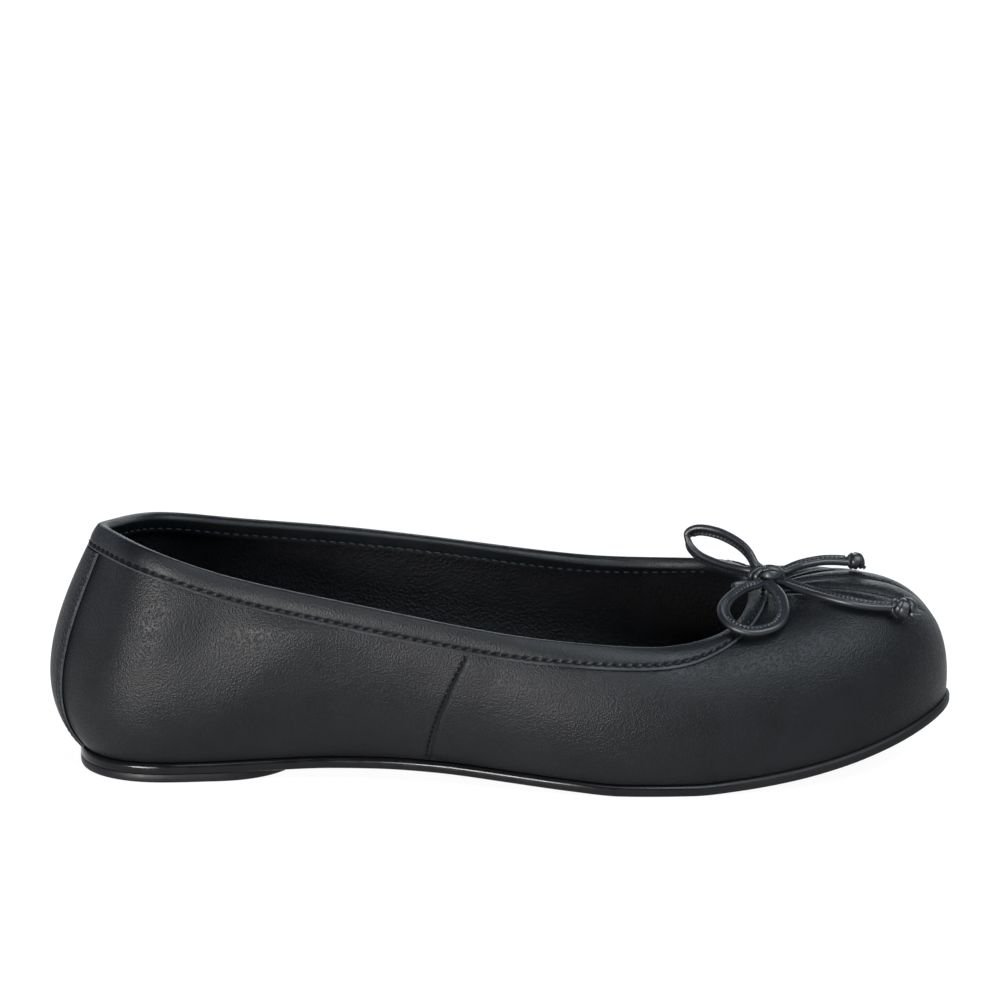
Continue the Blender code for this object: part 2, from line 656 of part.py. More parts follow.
def make_lace(name, seat, route, lie, direction, material):
    """A folded leather lace swept along its route."""
    centre = seat + smooth_route(route, LACE_FACET)
    tangent = unit(np.gradient(centre, axis=0))
    direction = np.array(direction)
    if lie == "flat":
        broad = unit(np.cross(tangent, direction))
    else:
        broad = unit(direction - (tangent @ direction)[:, None] * tangent)
    flat = np.cross(tangent, broad)
    rings = [np.array([p + u * b + v * f for u, v in lace_profile()]) for p, b, f in zip(centre, broad, flat)]
    vertices, faces = join_rings(rings, closed_section=False)
    sides = len(lace_profile())
    faces.append(tuple(range(sides))[::-1])
    faces.append(tuple(range(len(vertices) - sides, len(vertices))))
    return add_object(name, vertices, faces, material)


def make_knot(name, centre, size, along, up, material):
    """A pulled knot: a lump whose girth swells and narrows once for each turn of the lace."""
    forward = unit(along - (along @ up) * up)
    side = np.cross(up, forward)
    vertices = [centre - 0.5 * size[0] * forward]
    for r in range(1, KNOT_ROWS):
        angle = math.pi * r / KNOT_ROWS
        swell = 1.0 - KNOT_SWELL * math.cos(2.0 * KNOT_TURNS * angle)
        girth = 0.5 * swell * math.sin(angle) ** KNOT_BLUNTNESS
        middle = centre - 0.5 * size[0] * math.cos(angle) * forward
        for s in range(KNOT_SIDES):
            turn = 2.0 * math.pi * s / KNOT_SIDES
            across = size[1] * girth * math.cos(turn) * side
            rise = size[2] * girth * math.sin(turn) * up
            vertices.append(middle + across + rise)
    vertices.append(centre + 0.5 * size[0] * forward)
    final = len(vertices) - 1
    faces = []
    for s in range(KNOT_SIDES):
        on = (s + 1) % KNOT_SIDES
        faces.append((0, 1 + on, 1 + s))
        faces.append((final, final - KNOT_SIDES + s, final - KNOT_SIDES + on))
        for r in range(KNOT_ROWS - 2):
            low = 1 + r * KNOT_SIDES
            high = low + KNOT_SIDES
            faces.append((low + s, low + on, high + on, high + s))
    return add_object(name, vertices, faces, material)


def bow_seat(last):
    """The middle of the bow's knot, seated on the binding at the front of the throat."""
    wall = Wall(last, [last.place["toe_tip"]])
    down = BOW_SEAT_SHARE * BINDING_DEPTH_THROAT
    high = FIT + BINDING_THICKNESS + FIT + 0.5 * (1.0 + KNOT_SWELL) * BOW_KNOT_SIZE[2]
    normal = unit(wall.ring(down, high)[0] - wall.ring(down)[0])
    return wall.ring(down, high)[0], normal


def make_bow(last, material):
    seat, normal = bow_seat(last)
    make_knot("bow_knot", seat, BOW_KNOT_SIZE, np.array([1.0, 0.0, 0.0]), normal, material)
    for name, (route, lie, direction) in LACES.items():
        make_lace(name, seat, route, lie, direction, material)
    for name, (route, size) in TAIL_KNOTS.items():
        onwards = unit(np.array(route[-1]) - np.array(route[-2]))
        tip = seat + np.array(route[-1]) * MM
        make_knot(name, tip + onwards * (0.5 * size[0] + FIT), size, onwards, Z_AXIS, material)


def make_materials():
    made = {}
    for name, (colour, roughness) in MATERIALS.items():
        material = bpy.data.materials.new(name)
        material.use_nodes = True
        shader = material.node_tree.nodes["Principled BSDF"]
        shader.inputs["Base Color"].default_value = (*colour, 1.0)
        shader.inputs["Roughness"].default_value = roughness
        made[name] = material
    return made


def centre_on_origin(pieces):
    """Moves everything so that the shoe, without its bow, has its origin under its middle."""
    body = [p for p in pieces if not p.name.startswith(("bow_", "tail_"))]
    corners = np.array([v.co for piece in body for v in piece.data.vertices])
    middle = 0.5 * (corners.min(axis=0) + corners.max(axis=0))
    for piece in pieces:
        piece.location = (-middle[0], -middle[1], 0.0)


def main():
    for old in list(bpy.data.objects):
        bpy.data.objects.remove(old)
    materials = make_materials()
    last = Last()
    pairs = paired_places(last, PAD_STATIONS)
    wall = Wall(last, places_around(last))
    make_outsole(last, pairs, materials["rubber"])
    make_heel_lift(last, materials["rubber"])
    make_insole(last, pairs, materials["lining"])
    make_upper(last, wall, materials["leather"])
    make_binding(wall, materials["binding"])
    make_backstay(last, wall, materials["leather"])
    make_bow(last, materials["binding"])
    centre_on_origin(list(bpy.data.objects))


main()
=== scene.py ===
import math

import bpy
import numpy as np
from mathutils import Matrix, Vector


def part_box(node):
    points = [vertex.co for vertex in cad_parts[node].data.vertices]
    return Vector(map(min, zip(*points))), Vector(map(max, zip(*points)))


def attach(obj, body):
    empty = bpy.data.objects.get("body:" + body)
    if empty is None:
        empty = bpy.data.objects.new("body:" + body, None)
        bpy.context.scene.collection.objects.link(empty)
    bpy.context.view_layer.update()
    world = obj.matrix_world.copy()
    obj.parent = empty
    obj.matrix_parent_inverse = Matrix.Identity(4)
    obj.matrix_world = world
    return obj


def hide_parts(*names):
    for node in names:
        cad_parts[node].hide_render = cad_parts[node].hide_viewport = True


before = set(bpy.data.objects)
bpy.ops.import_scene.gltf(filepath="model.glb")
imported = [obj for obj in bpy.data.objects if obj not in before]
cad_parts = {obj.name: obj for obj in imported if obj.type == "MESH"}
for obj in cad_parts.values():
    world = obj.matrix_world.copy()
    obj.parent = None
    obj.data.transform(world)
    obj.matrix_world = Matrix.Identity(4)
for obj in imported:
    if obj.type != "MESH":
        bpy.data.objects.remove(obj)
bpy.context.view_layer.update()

MM = 0.001

# The shoe's own sizes and sections, as in its solids.
SOLE_LENGTH = 240 * MM
BALL_WIDTH = 79 * MM
HEEL_SEAT_WIDTH = 52 * MM
BACK_HEIGHT = 65 * MM
THROAT_HEIGHT = 45 * MM
OUTSOLE_THICKNESS = 3.0 * MM
HEEL_HEIGHT = 2.3 * MM
ARCH_HEIGHT = 3.4 * MM
TOE_SPRING = 15.0 * MM
INSOLE_THICKNESS = 2.0 * MM
UPPER_WALL = 1.3 * MM
BINDING_THICKNESS = 0.8 * MM
BINDING_DEPTH_OUTSIDE = 7.1 * MM
BINDING_DEPTH_THROAT = 5.8 * MM
BINDING_DEPTH_INSIDE = 5.2 * MM
BACKSTAY_THICKNESS = 0.8 * MM
BACKSTAY_WIDTH = 21 * MM
BACKSTAY_FLARE = 3.5 * MM
LACE_WIDTH = 3.5 * MM
LACE_FOLD_THICKNESS = 1.9 * MM
LACE_FLANGE_THICKNESS = 1.0 * MM
BOW_KNOT_SIZE = (10.6 * MM, 7.0 * MM, 5.4 * MM)
TAIL_KNOT_LATERAL_SIZE = (8.0 * MM, 6.4 * MM, 5.8 * MM)
TAIL_KNOT_MEDIAL_SIZE = (5.6 * MM, 5.0 * MM, 4.8 * MM)

FIT = 0.3 * MM
SOLE_LEDGE = 1.0 * MM
SOLE_BEVEL = 0.6 * MM
SOLE_SHOULDER = 1.2 * MM
SEAM_STEP = 0.5 * MM
SEAM_RAMP = 1.2 * MM
SEAM_FADE = 14 * MM
SEAM_FOOT_PLACE = -1.3 * MM
SEAM_LEAN = 7.6 * MM
SEAM_EDGE_GAP = (1.5 * MM, 0.9 * MM)
SEAM_RIDGE = (0.14 * MM, 0.4 * MM)
SEAM_EDGE_GROOVE = (0.34 * MM, 0.45 * MM)
SEAM_STITCH_GROOVE = (0.10 * MM, 0.35 * MM)
SEAM_STITCH_GAP = -0.3 * MM
SEAM_REACH = 7.5 * MM
FOLD_DEPTH = 1.5 * MM
FOLD_WIDTH = 2.4 * MM
FOLD_DEEPER = 1.25
FOLD_PUFF = 0.7 * MM
EDGE_SINK = FIT + BINDING_THICKNESS
PROBE = 0.2 * MM
PLAN_SAMPLES = 2400
MERIDIAN_SAMPLES = 101

# Foot and topline along and across the plan, as shares of the sole's length and of the half width
# there; then the topline's height, belly, rise, crown and dip as shares of the wall's height there.
SECTIONS = {
    "heel_back": (0.000, 0.00, 0.030, 0.000, 1.017, 0.254, 0.223, 0.154, 0.308),
    "heel_corner_lateral": (0.015, -0.61, 0.043, -0.290, 1.021, 0.170, 0.200, 0.131, 0.301),
    "heel_turn_lateral": (0.060, -0.94, 0.079, -0.754, 1.015, 0.132, 0.194, 0.132, 0.295),
    "heel_side_lateral": (0.142, -0.98, 0.158, -0.946, 0.949, 0.104, 0.191, 0.112, 0.287),
    "waist_lateral": (0.267, -0.84, 0.283, -0.980, 0.905, 0.111, 0.205, 0.111, 0.273),
    "seam_lateral": (0.404, -0.81, 0.438, -0.913, 0.876, 0.124, 0.229, 0.133, 0.257),
    "joint_lateral": (0.500, -0.89, 0.521, -0.870, 0.869, 0.121, 0.243, 0.172, 0.233),
    "ball_lateral": (0.596, -0.96, 0.602, -0.822, 0.868, 0.106, 0.255, 0.223, 0.213),
    "tread_lateral": (0.688, -0.96, 0.667, -0.754, 0.867, 0.098, 0.263, 0.263, 0.153),
    "forefoot_lateral": (0.783, -0.88, 0.717, -0.613, 0.891, 0.100, 0.310, 0.355, 0.055),
    "toe_side_lateral": (0.875, -0.73, 0.746, -0.418, 0.924, 0.089, 0.411, 0.533, -0.078),
    "toe_corner_lateral": (0.948, -0.49, 0.760, -0.203, 0.964, 0.067, 0.600, 0.689, -0.167),
    "toe_tip": (1.000, 0.10, 0.765, 0.038, 1.009, 0.056, 0.744, 0.700, -0.184),
    "toe_corner_medial": (0.960, 0.55, 0.760, 0.266, 1.036, 0.067, 0.678, 0.689, -0.151),
    "toe_side_medial": (0.887, 0.87, 0.744, 0.471, 1.049, 0.089, 0.467, 0.533, -0.089),
    "forefoot_medial": (0.796, 1.02, 0.715, 0.646, 1.055, 0.089, 0.332, 0.355, 0.033),
    "tread_medial": (0.700, 1.03, 0.662, 0.747, 1.036, 0.098, 0.284, 0.262, 0.131),
    "ball_medial": (0.592, 0.90, 0.588, 0.791, 1.015, 0.116, 0.253, 0.211, 0.211),
    "joint_medial": (0.485, 0.73, 0.500, 0.832, 1.014, 0.129, 0.248, 0.158, 0.258),
    "seam_medial": (0.380, 0.67, 0.405, 0.892, 1.010, 0.137, 0.238, 0.119, 0.274),
    "waist_medial": (0.260, 0.78, 0.280, 0.939, 0.995, 0.127, 0.221, 0.110, 0.289),
    "heel_side_medial": (0.142, 0.96, 0.158, 0.938, 0.979, 0.104, 0.199, 0.112, 0.295),
    "heel_turn_medial": (0.060, 0.94, 0.077, 0.754, 0.991, 0.132, 0.202, 0.132, 0.295),
    "heel_corner_medial": (0.015, 0.61, 0.043, 0.290, 1.008, 0.170, 0.200, 0.131, 0.301),
}
SEAM_SECTIONS = {"seam_lateral": 1, "seam_medial": -1}
SEAM_FOOT_FADE = (0.0, 0.1)
SEAM_HEAD_FADE = (0.86, 0.78)
SEAM_LINE_FADE = (0.0, 0.04)
WIDTH_BLEND = (0.15, 0.65)
HEIGHT_BLEND = (0.0, 0.75)
COLLAR_LEAN = 0.25 * HEEL_SEAT_WIDTH

# The outsole's underside: share of the sole's length, the height that it follows, share of that.
PROFILE = (
    (-0.05, HEEL_HEIGHT, 1.00), (0.15, HEEL_HEIGHT, 1.00), (0.22, ARCH_HEIGHT, 0.80),
    (0.29, ARCH_HEIGHT, 0.97), (0.35, ARCH_HEIGHT, 1.00), (0.41, ARCH_HEIGHT, 0.91),
    (0.49, ARCH_HEIGHT, 0.59), (0.56, ARCH_HEIGHT, 0.26), (0.62, TOE_SPRING, 0.00),
    (0.70, TOE_SPRING, 0.00), (0.75, TOE_SPRING, 0.06), (0.81, TOE_SPRING, 0.18),
    (0.87, TOE_SPRING, 0.37), (0.92, TOE_SPRING, 0.59), (0.96, TOE_SPRING, 0.79),
    (1.00, TOE_SPRING, 1.00), (1.05, TOE_SPRING, 1.27),
)

# Pleats over the toe: place across as a share of the ball's width, depth, where each one begins.
FOLDS = {
    "pleat_outer_lateral": (-0.215, 0.8, 0.52),
    "pleat_inner_lateral": (-0.125, 1.0, 0.30),
    "pleat_middle": (0.015, 1.0, 0.22),
    "pleat_inner_medial": (0.155, 1.0, 0.30),
    "pleat_outer_medial": (0.245, 0.8, 0.52),
}
FOLD_PINCH = 0.35
FOLD_FAN_FOOT = 0.2
FOLD_PUFF_FULL = 0.5
FOLD_HEAD_FADE = (0.97, 0.87)
FOLD_RUN_IN = 0.2
FOLD_PINCH_FINE = 0.17
CREASE_WIDTH = 0.55 * MM
CREASE_SHARE = 0.62
CREASE_HEAD_FADE = (0.955, 0.915)

LIFT_SIDE_END = 0.165
LIFT_FRONT = 0.255
LIFT_ROUNDNESS = 2.2

# Routes of the lace from the middle of the knot, in mm: along, across and up.
LOOP_LATERAL_ROUTE = (
    (-2.9, -4.5, -1.2), (-6.4, -7.3, -1.6), (-10.3, -12.3, -2.7), (-12.6, -18.3, -3.8),
    (-12.5, -23.3, -5.1), (-10.3, -26.5, -6.6), (-6.7, -27.8, -7.6), (-2.6, -27.2, -7.6),
    (1.4, -25.0, -6.7), (3.3, -20.7, -4.8), (3.2, -14.4, -2.8), (2.0, -9.5, -1.7), (0.6, -5.3, -1.3),
)
LOOP_MEDIAL_ROUTE = (
    (-3.0, 2.3, 2.1), (-4.8, 4.9, 4.9), (-7.6, 7.7, 7.0), (-12.1, 11.7, 8.5), (-16.7, 14.2, 9.0),
    (-19.6, 15.2, 8.4), (-21.0, 15.7, 6.6), (-20.6, 14.7, 4.3), (-18.3, 12.7, 2.2),
    (-15.4, 10.6, 1.1), (-11.1, 7.2, 0.4), (-6.4, 3.4, 0.3),
)
TAIL_LATERAL_ROUTE = (
    (4.6, -3.0, -1.1), (8.7, -7.2, -1.5), (13.7, -12.4, -1.7), (20.3, -16.1, -2.5),
    (26.5, -16.9, -3.5), (32.2, -15.9, -4.1),
)
TAIL_MEDIAL_ROUTE = (
    (5.0, 2.3, 0.7), (9.5, 5.6, 1.5), (15.1, 7.6, 2.1), (19.3, 8.5, 2.0), (22.2, 8.9, 1.7),
)
# Where each flat lace's face looks, and where the standing one's width points at its start and end.
LOOP_LATERAL_FACE = (0.0, -0.35, 0.94)
TAIL_LATERAL_FACE = (0.0, -0.40, 0.92)
TAIL_MEDIAL_FACE = (-0.30, -0.45, 0.84)
LOOP_MEDIAL_WIDTH_START = (0.0, -0.25, 0.97)
LOOP_MEDIAL_WIDTH_END = (0.0, -0.60, 0.80)
# A small bight of the lace behind the knot, and the turns of each knot. A turn's route is to the
# right, up and towards the viewer from the knot's middle in mm; then width, thickness, and the
# share of them at its start and end.
BIGHT_ROUTE = (
    (-2.0, -0.5, -1.2), (-6.2, -0.3, -2.2), (-8.6, -0.8, -2.6), (-8.2, -2.2, -3.2),
    (-5.8, -2.6, -3.0), (-2.0, -1.5, -1.8),
)
BOW_TURNS = (
    (((-3.4, 0.2, -0.4), (0.0, 0.3, 0.2), (3.4, -0.7, -0.4)), 3.6, 3.6, 0.7, 0.7),
    (((-1.5, 2.0, -0.9), (0.6, 2.2, 0.5), (2.6, 1.8, 0.8), (4.2, 0.7, 0.3), (4.8, -0.8, -0.6)),
     1.7, 1.4, 1.0, 0.9),
    (((0.6, 1.9, -1.0), (-1.2, 2.15, 0.6), (-2.9, 1.7, 1.5), (-4.1, 0.8, 1.9), (-4.6, -0.3, 1.8),
      (-4.2, -1.3, 1.3), (-3.0, -1.9, 0.0)), 1.6, 1.4, 0.9, 0.8),
    (((1.0, 1.8, -0.4), (-0.9, 1.75, 1.5), (-2.1, 1.1, 2.5), (-2.9, 0.2, 2.9), (-3.2, -0.8, 2.6),
      (-2.7, -1.7, 1.3), (-1.8, -2.1, -0.3)), 1.4, 1.3, 0.9, 0.8),
    (((-1.7, 0.5, 1.4), (-0.9, 1.45, 2.0), (1.0, 1.85, 2.3), (2.9, 1.25, 2.2), (4.0, 0.15, 1.7),
      (4.5, -1.1, 0.8), (4.2, -1.9, -0.5)), 1.2, 1.2, 0.7, 0.9),
    (((-2.3, -0.05, 2.0), (-0.7, 0.15, 3.0), (1.2, 0.2, 3.4), (2.9, -0.15, 3.0), (4.2, -0.85, 1.8)),
     2.5, 1.5, 0.2, 0.3),
    (((1.2, -2.9, 0.4), (1.3, -1.9, 1.3), (2.3, -1.5, 1.7), (3.0, -2.1, 1.5), (2.8, -2.9, 1.0)),
     1.0, 0.9, 0.9, 0.8),
    (((3.2, -2.4, 0.6), (4.0, -2.2, 1.1), (4.7, -2.7, 0.8), (4.2, -3.4, 0.2)), 1.1, 0.9, 0.8, 0.8),
)
TAIL_TURNS_LATERAL = (
    (((-2.4, -0.5, -0.4), (0.0, -0.4, 0.0), (2.2, -0.6, -0.4)), 4.0, 3.2, 0.8, 0.7),
    (((-2.0, 1.7, -0.8), (-2.9, 0.9, 0.8), (-3.2, -0.5, 1.5), (-2.9, -1.8, 1.2), (-2.0, -2.8, 0.0)),
     1.3, 1.2, 0.9, 0.9),
    (((0.5, 2.1, -0.9), (1.6, 1.6, 0.6), (2.4, 0.3, 1.4), (2.5, -1.0, 1.2), (1.8, -2.0, 0.1)),
     2.3, 1.5, 0.8, 0.6),
    (((0.9, 2.0, 0.0), (0.4, 0.9, 2.0), (-0.1, -0.8, 2.6), (-0.5, -2.1, 2.0), (-0.8, -2.9, 0.3)),
     2.6, 1.3, 0.6, 0.9),
    (((0.5, 2.1, -0.6), (-0.5, 1.6, 1.3), (-1.4, 0.4, 2.4), (-2.0, -0.9, 2.3), (-2.3, -2.0, 1.0)),
     1.5, 1.3, 0.6, 0.9),
    (((1.1, -1.6, 0.8), (2.2, -2.2, 1.3), (3.2, -2.7, 1.1), (4.0, -3.0, 0.5)), 1.3, 0.9, 0.8, 1.4),
)
TAIL_TURNS_MEDIAL = (
    (((-1.6, 0.3, -0.3), (0.0, 0.4, 0.0), (1.5, 0.0, -0.3)), 3.2, 2.8, 0.8, 0.7),
    (((-1.2, 2.0, -0.6), (-1.9, 1.3, 0.8), (-2.1, 0.0, 1.3), (-1.9, -1.1, 1.0), (-1.3, -1.7, 0.0)),
     1.1, 1.1, 0.9, 0.9),
    (((0.1, 2.2, -0.6), (0.2, 1.4, 1.2), (-0.1, 0.1, 1.9), (-0.5, -1.1, 1.5), (-0.7, -1.7, 0.2)),
     2.4, 1.0, 0.7, 0.9),
    (((-0.2, 2.2, -0.7), (0.8, 1.6, 0.6), (1.4, 0.3, 1.1), (1.6, -0.9, 0.7), (1.3, -1.6, -0.2)),
     1.7, 1.2, 0.7, 0.9),
    (((0.9, -0.8, 0.5), (1.7, -1.2, 0.7), (2.4, -1.8, 0.4)), 0.9, 0.8, 0.9, 1.2),
)
PICTURE = np.array([[1.0, 0.0, 0.0], [0.0, 0.2544, 0.9671], [0.0, -0.9671, 0.2544]])
KNOT_SWELL = 0.10
BOW_SEAT_SHARE = 1.1

# Stitching
BINDING_STITCH = 2.7 * MM
BINDING_MARGIN = 1.15 * MM
BACKSTAY_MARGIN = 1.5 * MM
SEAM_STITCH = 1.7 * MM
LACE_STITCH = 1.25 * MM
LACE_FACET = 0.35 * MM
PLACE_STEP = 1.35 * MM
FINE_STEP = 0.25 * MM
PLEATS_REACH = 27 * MM
WALL_ROWS = 114

Z_AXIS = np.array([0.0, 0.0, 1.0])


def smooth(low, high, value):
    """A soft step from 0 at low to 1 at high."""
    share = np.clip((np.asarray(value, float) - low) / (high - low), 0.0, 1.0)
    return share * share * (3.0 - 2.0 * share)


def unit(vectors):
    return vectors / np.linalg.norm(vectors, axis=-1, keepdims=True)


def bell(value, width):
    return np.exp(-(value / width) ** 2)


def half_width(along):
    return 0.5 * (HEEL_SEAT_WIDTH + (BALL_WIDTH - HEEL_SEAT_WIDTH) * smooth(*WIDTH_BLEND, along))


def wall_height(along):
    return BACK_HEIGHT + (THROAT_HEIGHT - BACK_HEIGHT) * smooth(*HEIGHT_BLEND, along)


def section_sizes():
    rows = np.array(list(SECTIONS.values()))
    foot, across_foot, edge, across_edge = rows[:, :4].T
    heights = rows[:, 4:] * wall_height(edge)[:, None]
    return np.column_stack([foot * SOLE_LENGTH, across_foot * half_width(foot), edge * SOLE_LENGTH,
                            across_edge * half_width(edge), heights])


def closed_spline(knots, values, period, places):
    """A smooth closed curve through a row of values at each knot."""
    count = len(knots)
    step = np.diff(np.append(knots, knots[0] + period))
    slope = (np.roll(values, -1, axis=0) - values) / step[:, None]
    before = np.roll(step, 1)
    one = np.eye(count)
    matrix = 2.0 * np.diag(before + step) + np.roll(one, -1, axis=1) * before[:, None]
    matrix += np.roll(one, 1, axis=1) * step[:, None]
    bend = np.linalg.solve(matrix, 6.0 * (slope - np.roll(slope, 1, axis=0)))
    places = np.mod(np.asarray(places, float), period)
    k = np.clip(np.searchsorted(knots, places, side="right") - 1, 0, count - 1)
    after = (k + 1) % count
    gap = step[k][:, None]
    far = (places - knots[k])[:, None]
    start = slope[k] - gap * (2.0 * bend[k] + bend[after]) / 6.0
    twist = (bend[after] - bend[k]) / (6.0 * gap)
    return values[k] + far * start + far ** 2 * bend[k] / 2.0 + far ** 3 * twist


def steady_spline(knots, values, places):
    """A curve through a table of heights that never overshoots them."""
    step = np.diff(knots)
    slope = np.diff(values) / step
    lean = np.concatenate([slope[:1], np.zeros(len(knots) - 2), slope[-1:]])
    for i in range(1, len(knots) - 1):
        if slope[i - 1] * slope[i] > 0.0:
            before = 2.0 * step[i] + step[i - 1]
            after = step[i] + 2.0 * step[i - 1]
            lean[i] = (before + after) / (before / slope[i - 1] + after / slope[i])
    places = np.clip(places, knots[0], knots[-1])
    k = np.clip(np.searchsorted(knots, places, side="right") - 1, 0, len(knots) - 2)
    t = (places - knots[k]) / step[k]
    low = (1.0 + 2.0 * t) * (1.0 - t) ** 2 * values[k] + t * (1.0 - t) ** 2 * step[k] * lean[k]
    high = t * t * (3.0 - 2.0 * t) * values[k + 1] + t * t * (t - 1.0) * step[k] * lean[k + 1]
    return low + high


def underside(x):
    """Height of the outsole's underside above the floor."""
    along = np.array([row[0] for row in PROFILE]) * SOLE_LENGTH
    height = np.array([row[1] * row[2] for row in PROFILE])
    return steady_spline(along, height, np.asarray(x, float))


class Last:
    """The surface that the upper is drawn over: meridians from the feather edge to the topline."""

    def __init__(self):
        self.sizes = section_sizes()
        feather = self.sizes[:, :2]
        chords = np.linalg.norm(np.roll(feather, -1, axis=0) - feather, axis=1)
        self.perimeter = float(chords.sum())
        self.knots = np.concatenate([[0.0], np.cumsum(chords)[:-1]])
        self.place = dict(zip(SECTIONS, self.knots))

    def around(self, places):
        return closed_spline(self.knots, self.sizes, self.perimeter, places)

    def outward(self, places):
        places = np.asarray(places, float)
        run = self.around(places + PROBE)[:, :2] - self.around(places - PROBE)[:, :2]
        return unit(np.column_stack([run[:, 1], -run[:, 0]]))

    def sole_edge(self, places, inset=0.0):
        return self.around(places)[:, :2] - inset * self.outward(places)

    def meridians(self, places):
        row = self.around(places)
        out = np.column_stack([self.outward(places), np.zeros(len(places))])
        foot = self.sole_edge(places, SOLE_LEDGE)
        start = np.column_stack([foot, underside(foot[:, 0]) + OUTSOLE_THICKNESS + FIT])
        end = row[:, 2:5]
        away = start - end + COLLAR_LEAN * out
        away[:, 2] = 0.0
        away = unit(away)
        low = start + out * row[:, 5:6] + Z_AXIS * row[:, 6:7]
        high = end + away * row[:, 7:8] - Z_AXIS * row[:, 8:9]
        t = np.linspace(0.0, 1.0, MERIDIAN_SAMPLES)[None, :, None]
        curve = (1.0 - t) ** 3 * start[:, None] + 3.0 * t * (1.0 - t) ** 2 * low[:, None]
        return curve + 3.0 * t * t * (1.0 - t) * high[:, None] + t ** 3 * end[:, None]

    def normals(self, places):
        ahead = self.meridians(np.asarray(places) + PROBE)
        behind = self.meridians(np.asarray(places) - PROBE)
        up = np.gradient(self.meridians(places), axis=1)
        return unit(np.cross(ahead - behind, up))


LAST = Last()
T = np.linspace(0.0, 1.0, MERIDIAN_SAMPLES)[None, :]


def signed_gap(places, middle):
    """Distance around the sole from middle, the short way, positive ahead of it."""
    half = 0.5 * LAST.perimeter
    return (np.asarray(places) - middle + half) % LAST.perimeter - half


def seam_lift(places):
    """The vamp laps the quarter at each side seam, with a fine crease behind the lap's stitches."""
    step_up = np.zeros((len(places), MERIDIAN_SAMPLES))
    crease = np.zeros((len(places), MERIDIAN_SAMPLES))
    for name, forwards in SEAM_SECTIONS.items():
        ahead = signed_gap(places, LAST.place[name])[:, None] * forwards - SEAM_FOOT_PLACE - SEAM_LEAN * T
        edge = ahead - SEAM_EDGE_GAP[0] + SEAM_EDGE_GAP[1] * T
        step = smooth(-0.25 * SEAM_RAMP, 0.25 * SEAM_RAMP, ahead)
        step_up += SEAM_STEP * step * (1.0 - smooth(0.0, SEAM_FADE, ahead))
        crease += SEAM_RIDGE[0] * bell(ahead - SEAM_RIDGE[1], SEAM_RIDGE[1])
        crease -= SEAM_EDGE_GROOVE[0] * bell(edge, SEAM_EDGE_GROOVE[1])
        crease -= SEAM_STITCH_GROOVE[0] * bell(ahead - SEAM_STITCH_GAP, SEAM_STITCH_GROOVE[1])
    ends = smooth(*SEAM_FOOT_FADE, T) * smooth(*SEAM_HEAD_FADE, T)
    return step_up * ends + crease * smooth(*SEAM_LINE_FADE, T) * smooth(*SEAM_HEAD_FADE, T)


def fold_lift(places):
    """Soft puffs over the toe, with a valley and a sharper crease in it between each two."""
    ahead = signed_gap(places, LAST.place["toe_tip"])[:, None]
    up = np.clip((T - FOLD_FAN_FOOT) / (1.0 - FOLD_FAN_FOOT), 0.0, 1.0)
    pinch = np.where(up > 0.5, FOLD_PINCH_FINE, FOLD_PINCH)
    spread = pinch + (1.0 - pinch) * np.sin(math.pi * up)
    widest = max(abs(row[0]) for row in FOLDS.values()) * BALL_WIDTH
    puff = np.exp(-(ahead / (widest * spread + FOLD_WIDTH)) ** 4)
    lift = FOLD_PUFF * puff * smooth(FOLD_FAN_FOOT, FOLD_PUFF_FULL, T) * smooth(*FOLD_HEAD_FADE, T)
    for across, depth, reach in FOLDS.values():
        middle = across * BALL_WIDTH * spread
        wide = (1.0 - CREASE_SHARE) * bell(ahead - middle, FOLD_WIDTH) * smooth(*FOLD_HEAD_FADE, T)
        sharp = CREASE_SHARE * np.exp(-np.abs(ahead - middle) / CREASE_WIDTH) * smooth(*CREASE_HEAD_FADE, T)
        deep = FOLD_DEEPER * FOLD_DEPTH * depth * smooth(reach, reach + FOLD_RUN_IN, T)
        lift = lift - deep * (wide + sharp)
    return lift


# Soft forms of the leather: section, mm ahead of it, share up the wall, the same for the other
# end, half width and height in mm.
CREASES = (
    ("heel_side_lateral", -8, 0.84, "heel_side_lateral", -14, 0.66, 6.0, 0.22),
    ("heel_side_lateral", 10, 0.90, "heel_side_lateral", -11, 0.48, 5.0, -0.26),
    ("heel_side_lateral", 25, 0.80, "heel_side_lateral", 9, 0.40, 14.0, 1.60),
    ("waist_lateral", 6, 0.86, "waist_lateral", -6, 0.55, 7.0, -0.30),
    ("seam_lateral", -14, 0.84, "waist_lateral", 4, 0.60, 5.0, -0.14),
    ("ball_lateral", 0, 0.80, "seam_lateral", 12, 0.55, 6.0, 0.14),
    ("heel_side_medial", 6, 0.80, "heel_turn_medial", -4, 0.35, 6.0, 0.20),
    ("heel_side_medial", -8, 0.86, "heel_side_medial", 8, 0.42, 5.0, -0.22),
    ("waist_medial", 8, 0.80, "heel_side_medial", -8, 0.38, 6.0, 0.20),
)


def crease_lift(places):
    lift = np.zeros((len(places), MERIDIAN_SAMPLES))
    up = T * BACK_HEIGHT
    for start, start_on, start_up, end, end_on, end_up, width, height in CREASES:
        middle = LAST.place[start] + start_on * MM
        run = signed_gap(LAST.place[end] + end_on * MM, middle)
        rise = (end_up - start_up) * BACK_HEIGHT
        along = signed_gap(places, middle)[:, None]
        above = up - start_up * BACK_HEIGHT
        share = np.clip((along * run + above * rise) / (run * run + rise * rise), 0.0, 1.0)
        away = np.hypot(along - share * run, above - share * rise)
        lift += height * MM * bell(away, width * MM)
    return lift * smooth(0.0, 0.15, T) * smooth(0.90, 0.78, T)


def read_off(marks, along, rows):
    return np.column_stack([np.interp(marks, along, rows[:, k]) for k in range(3)])


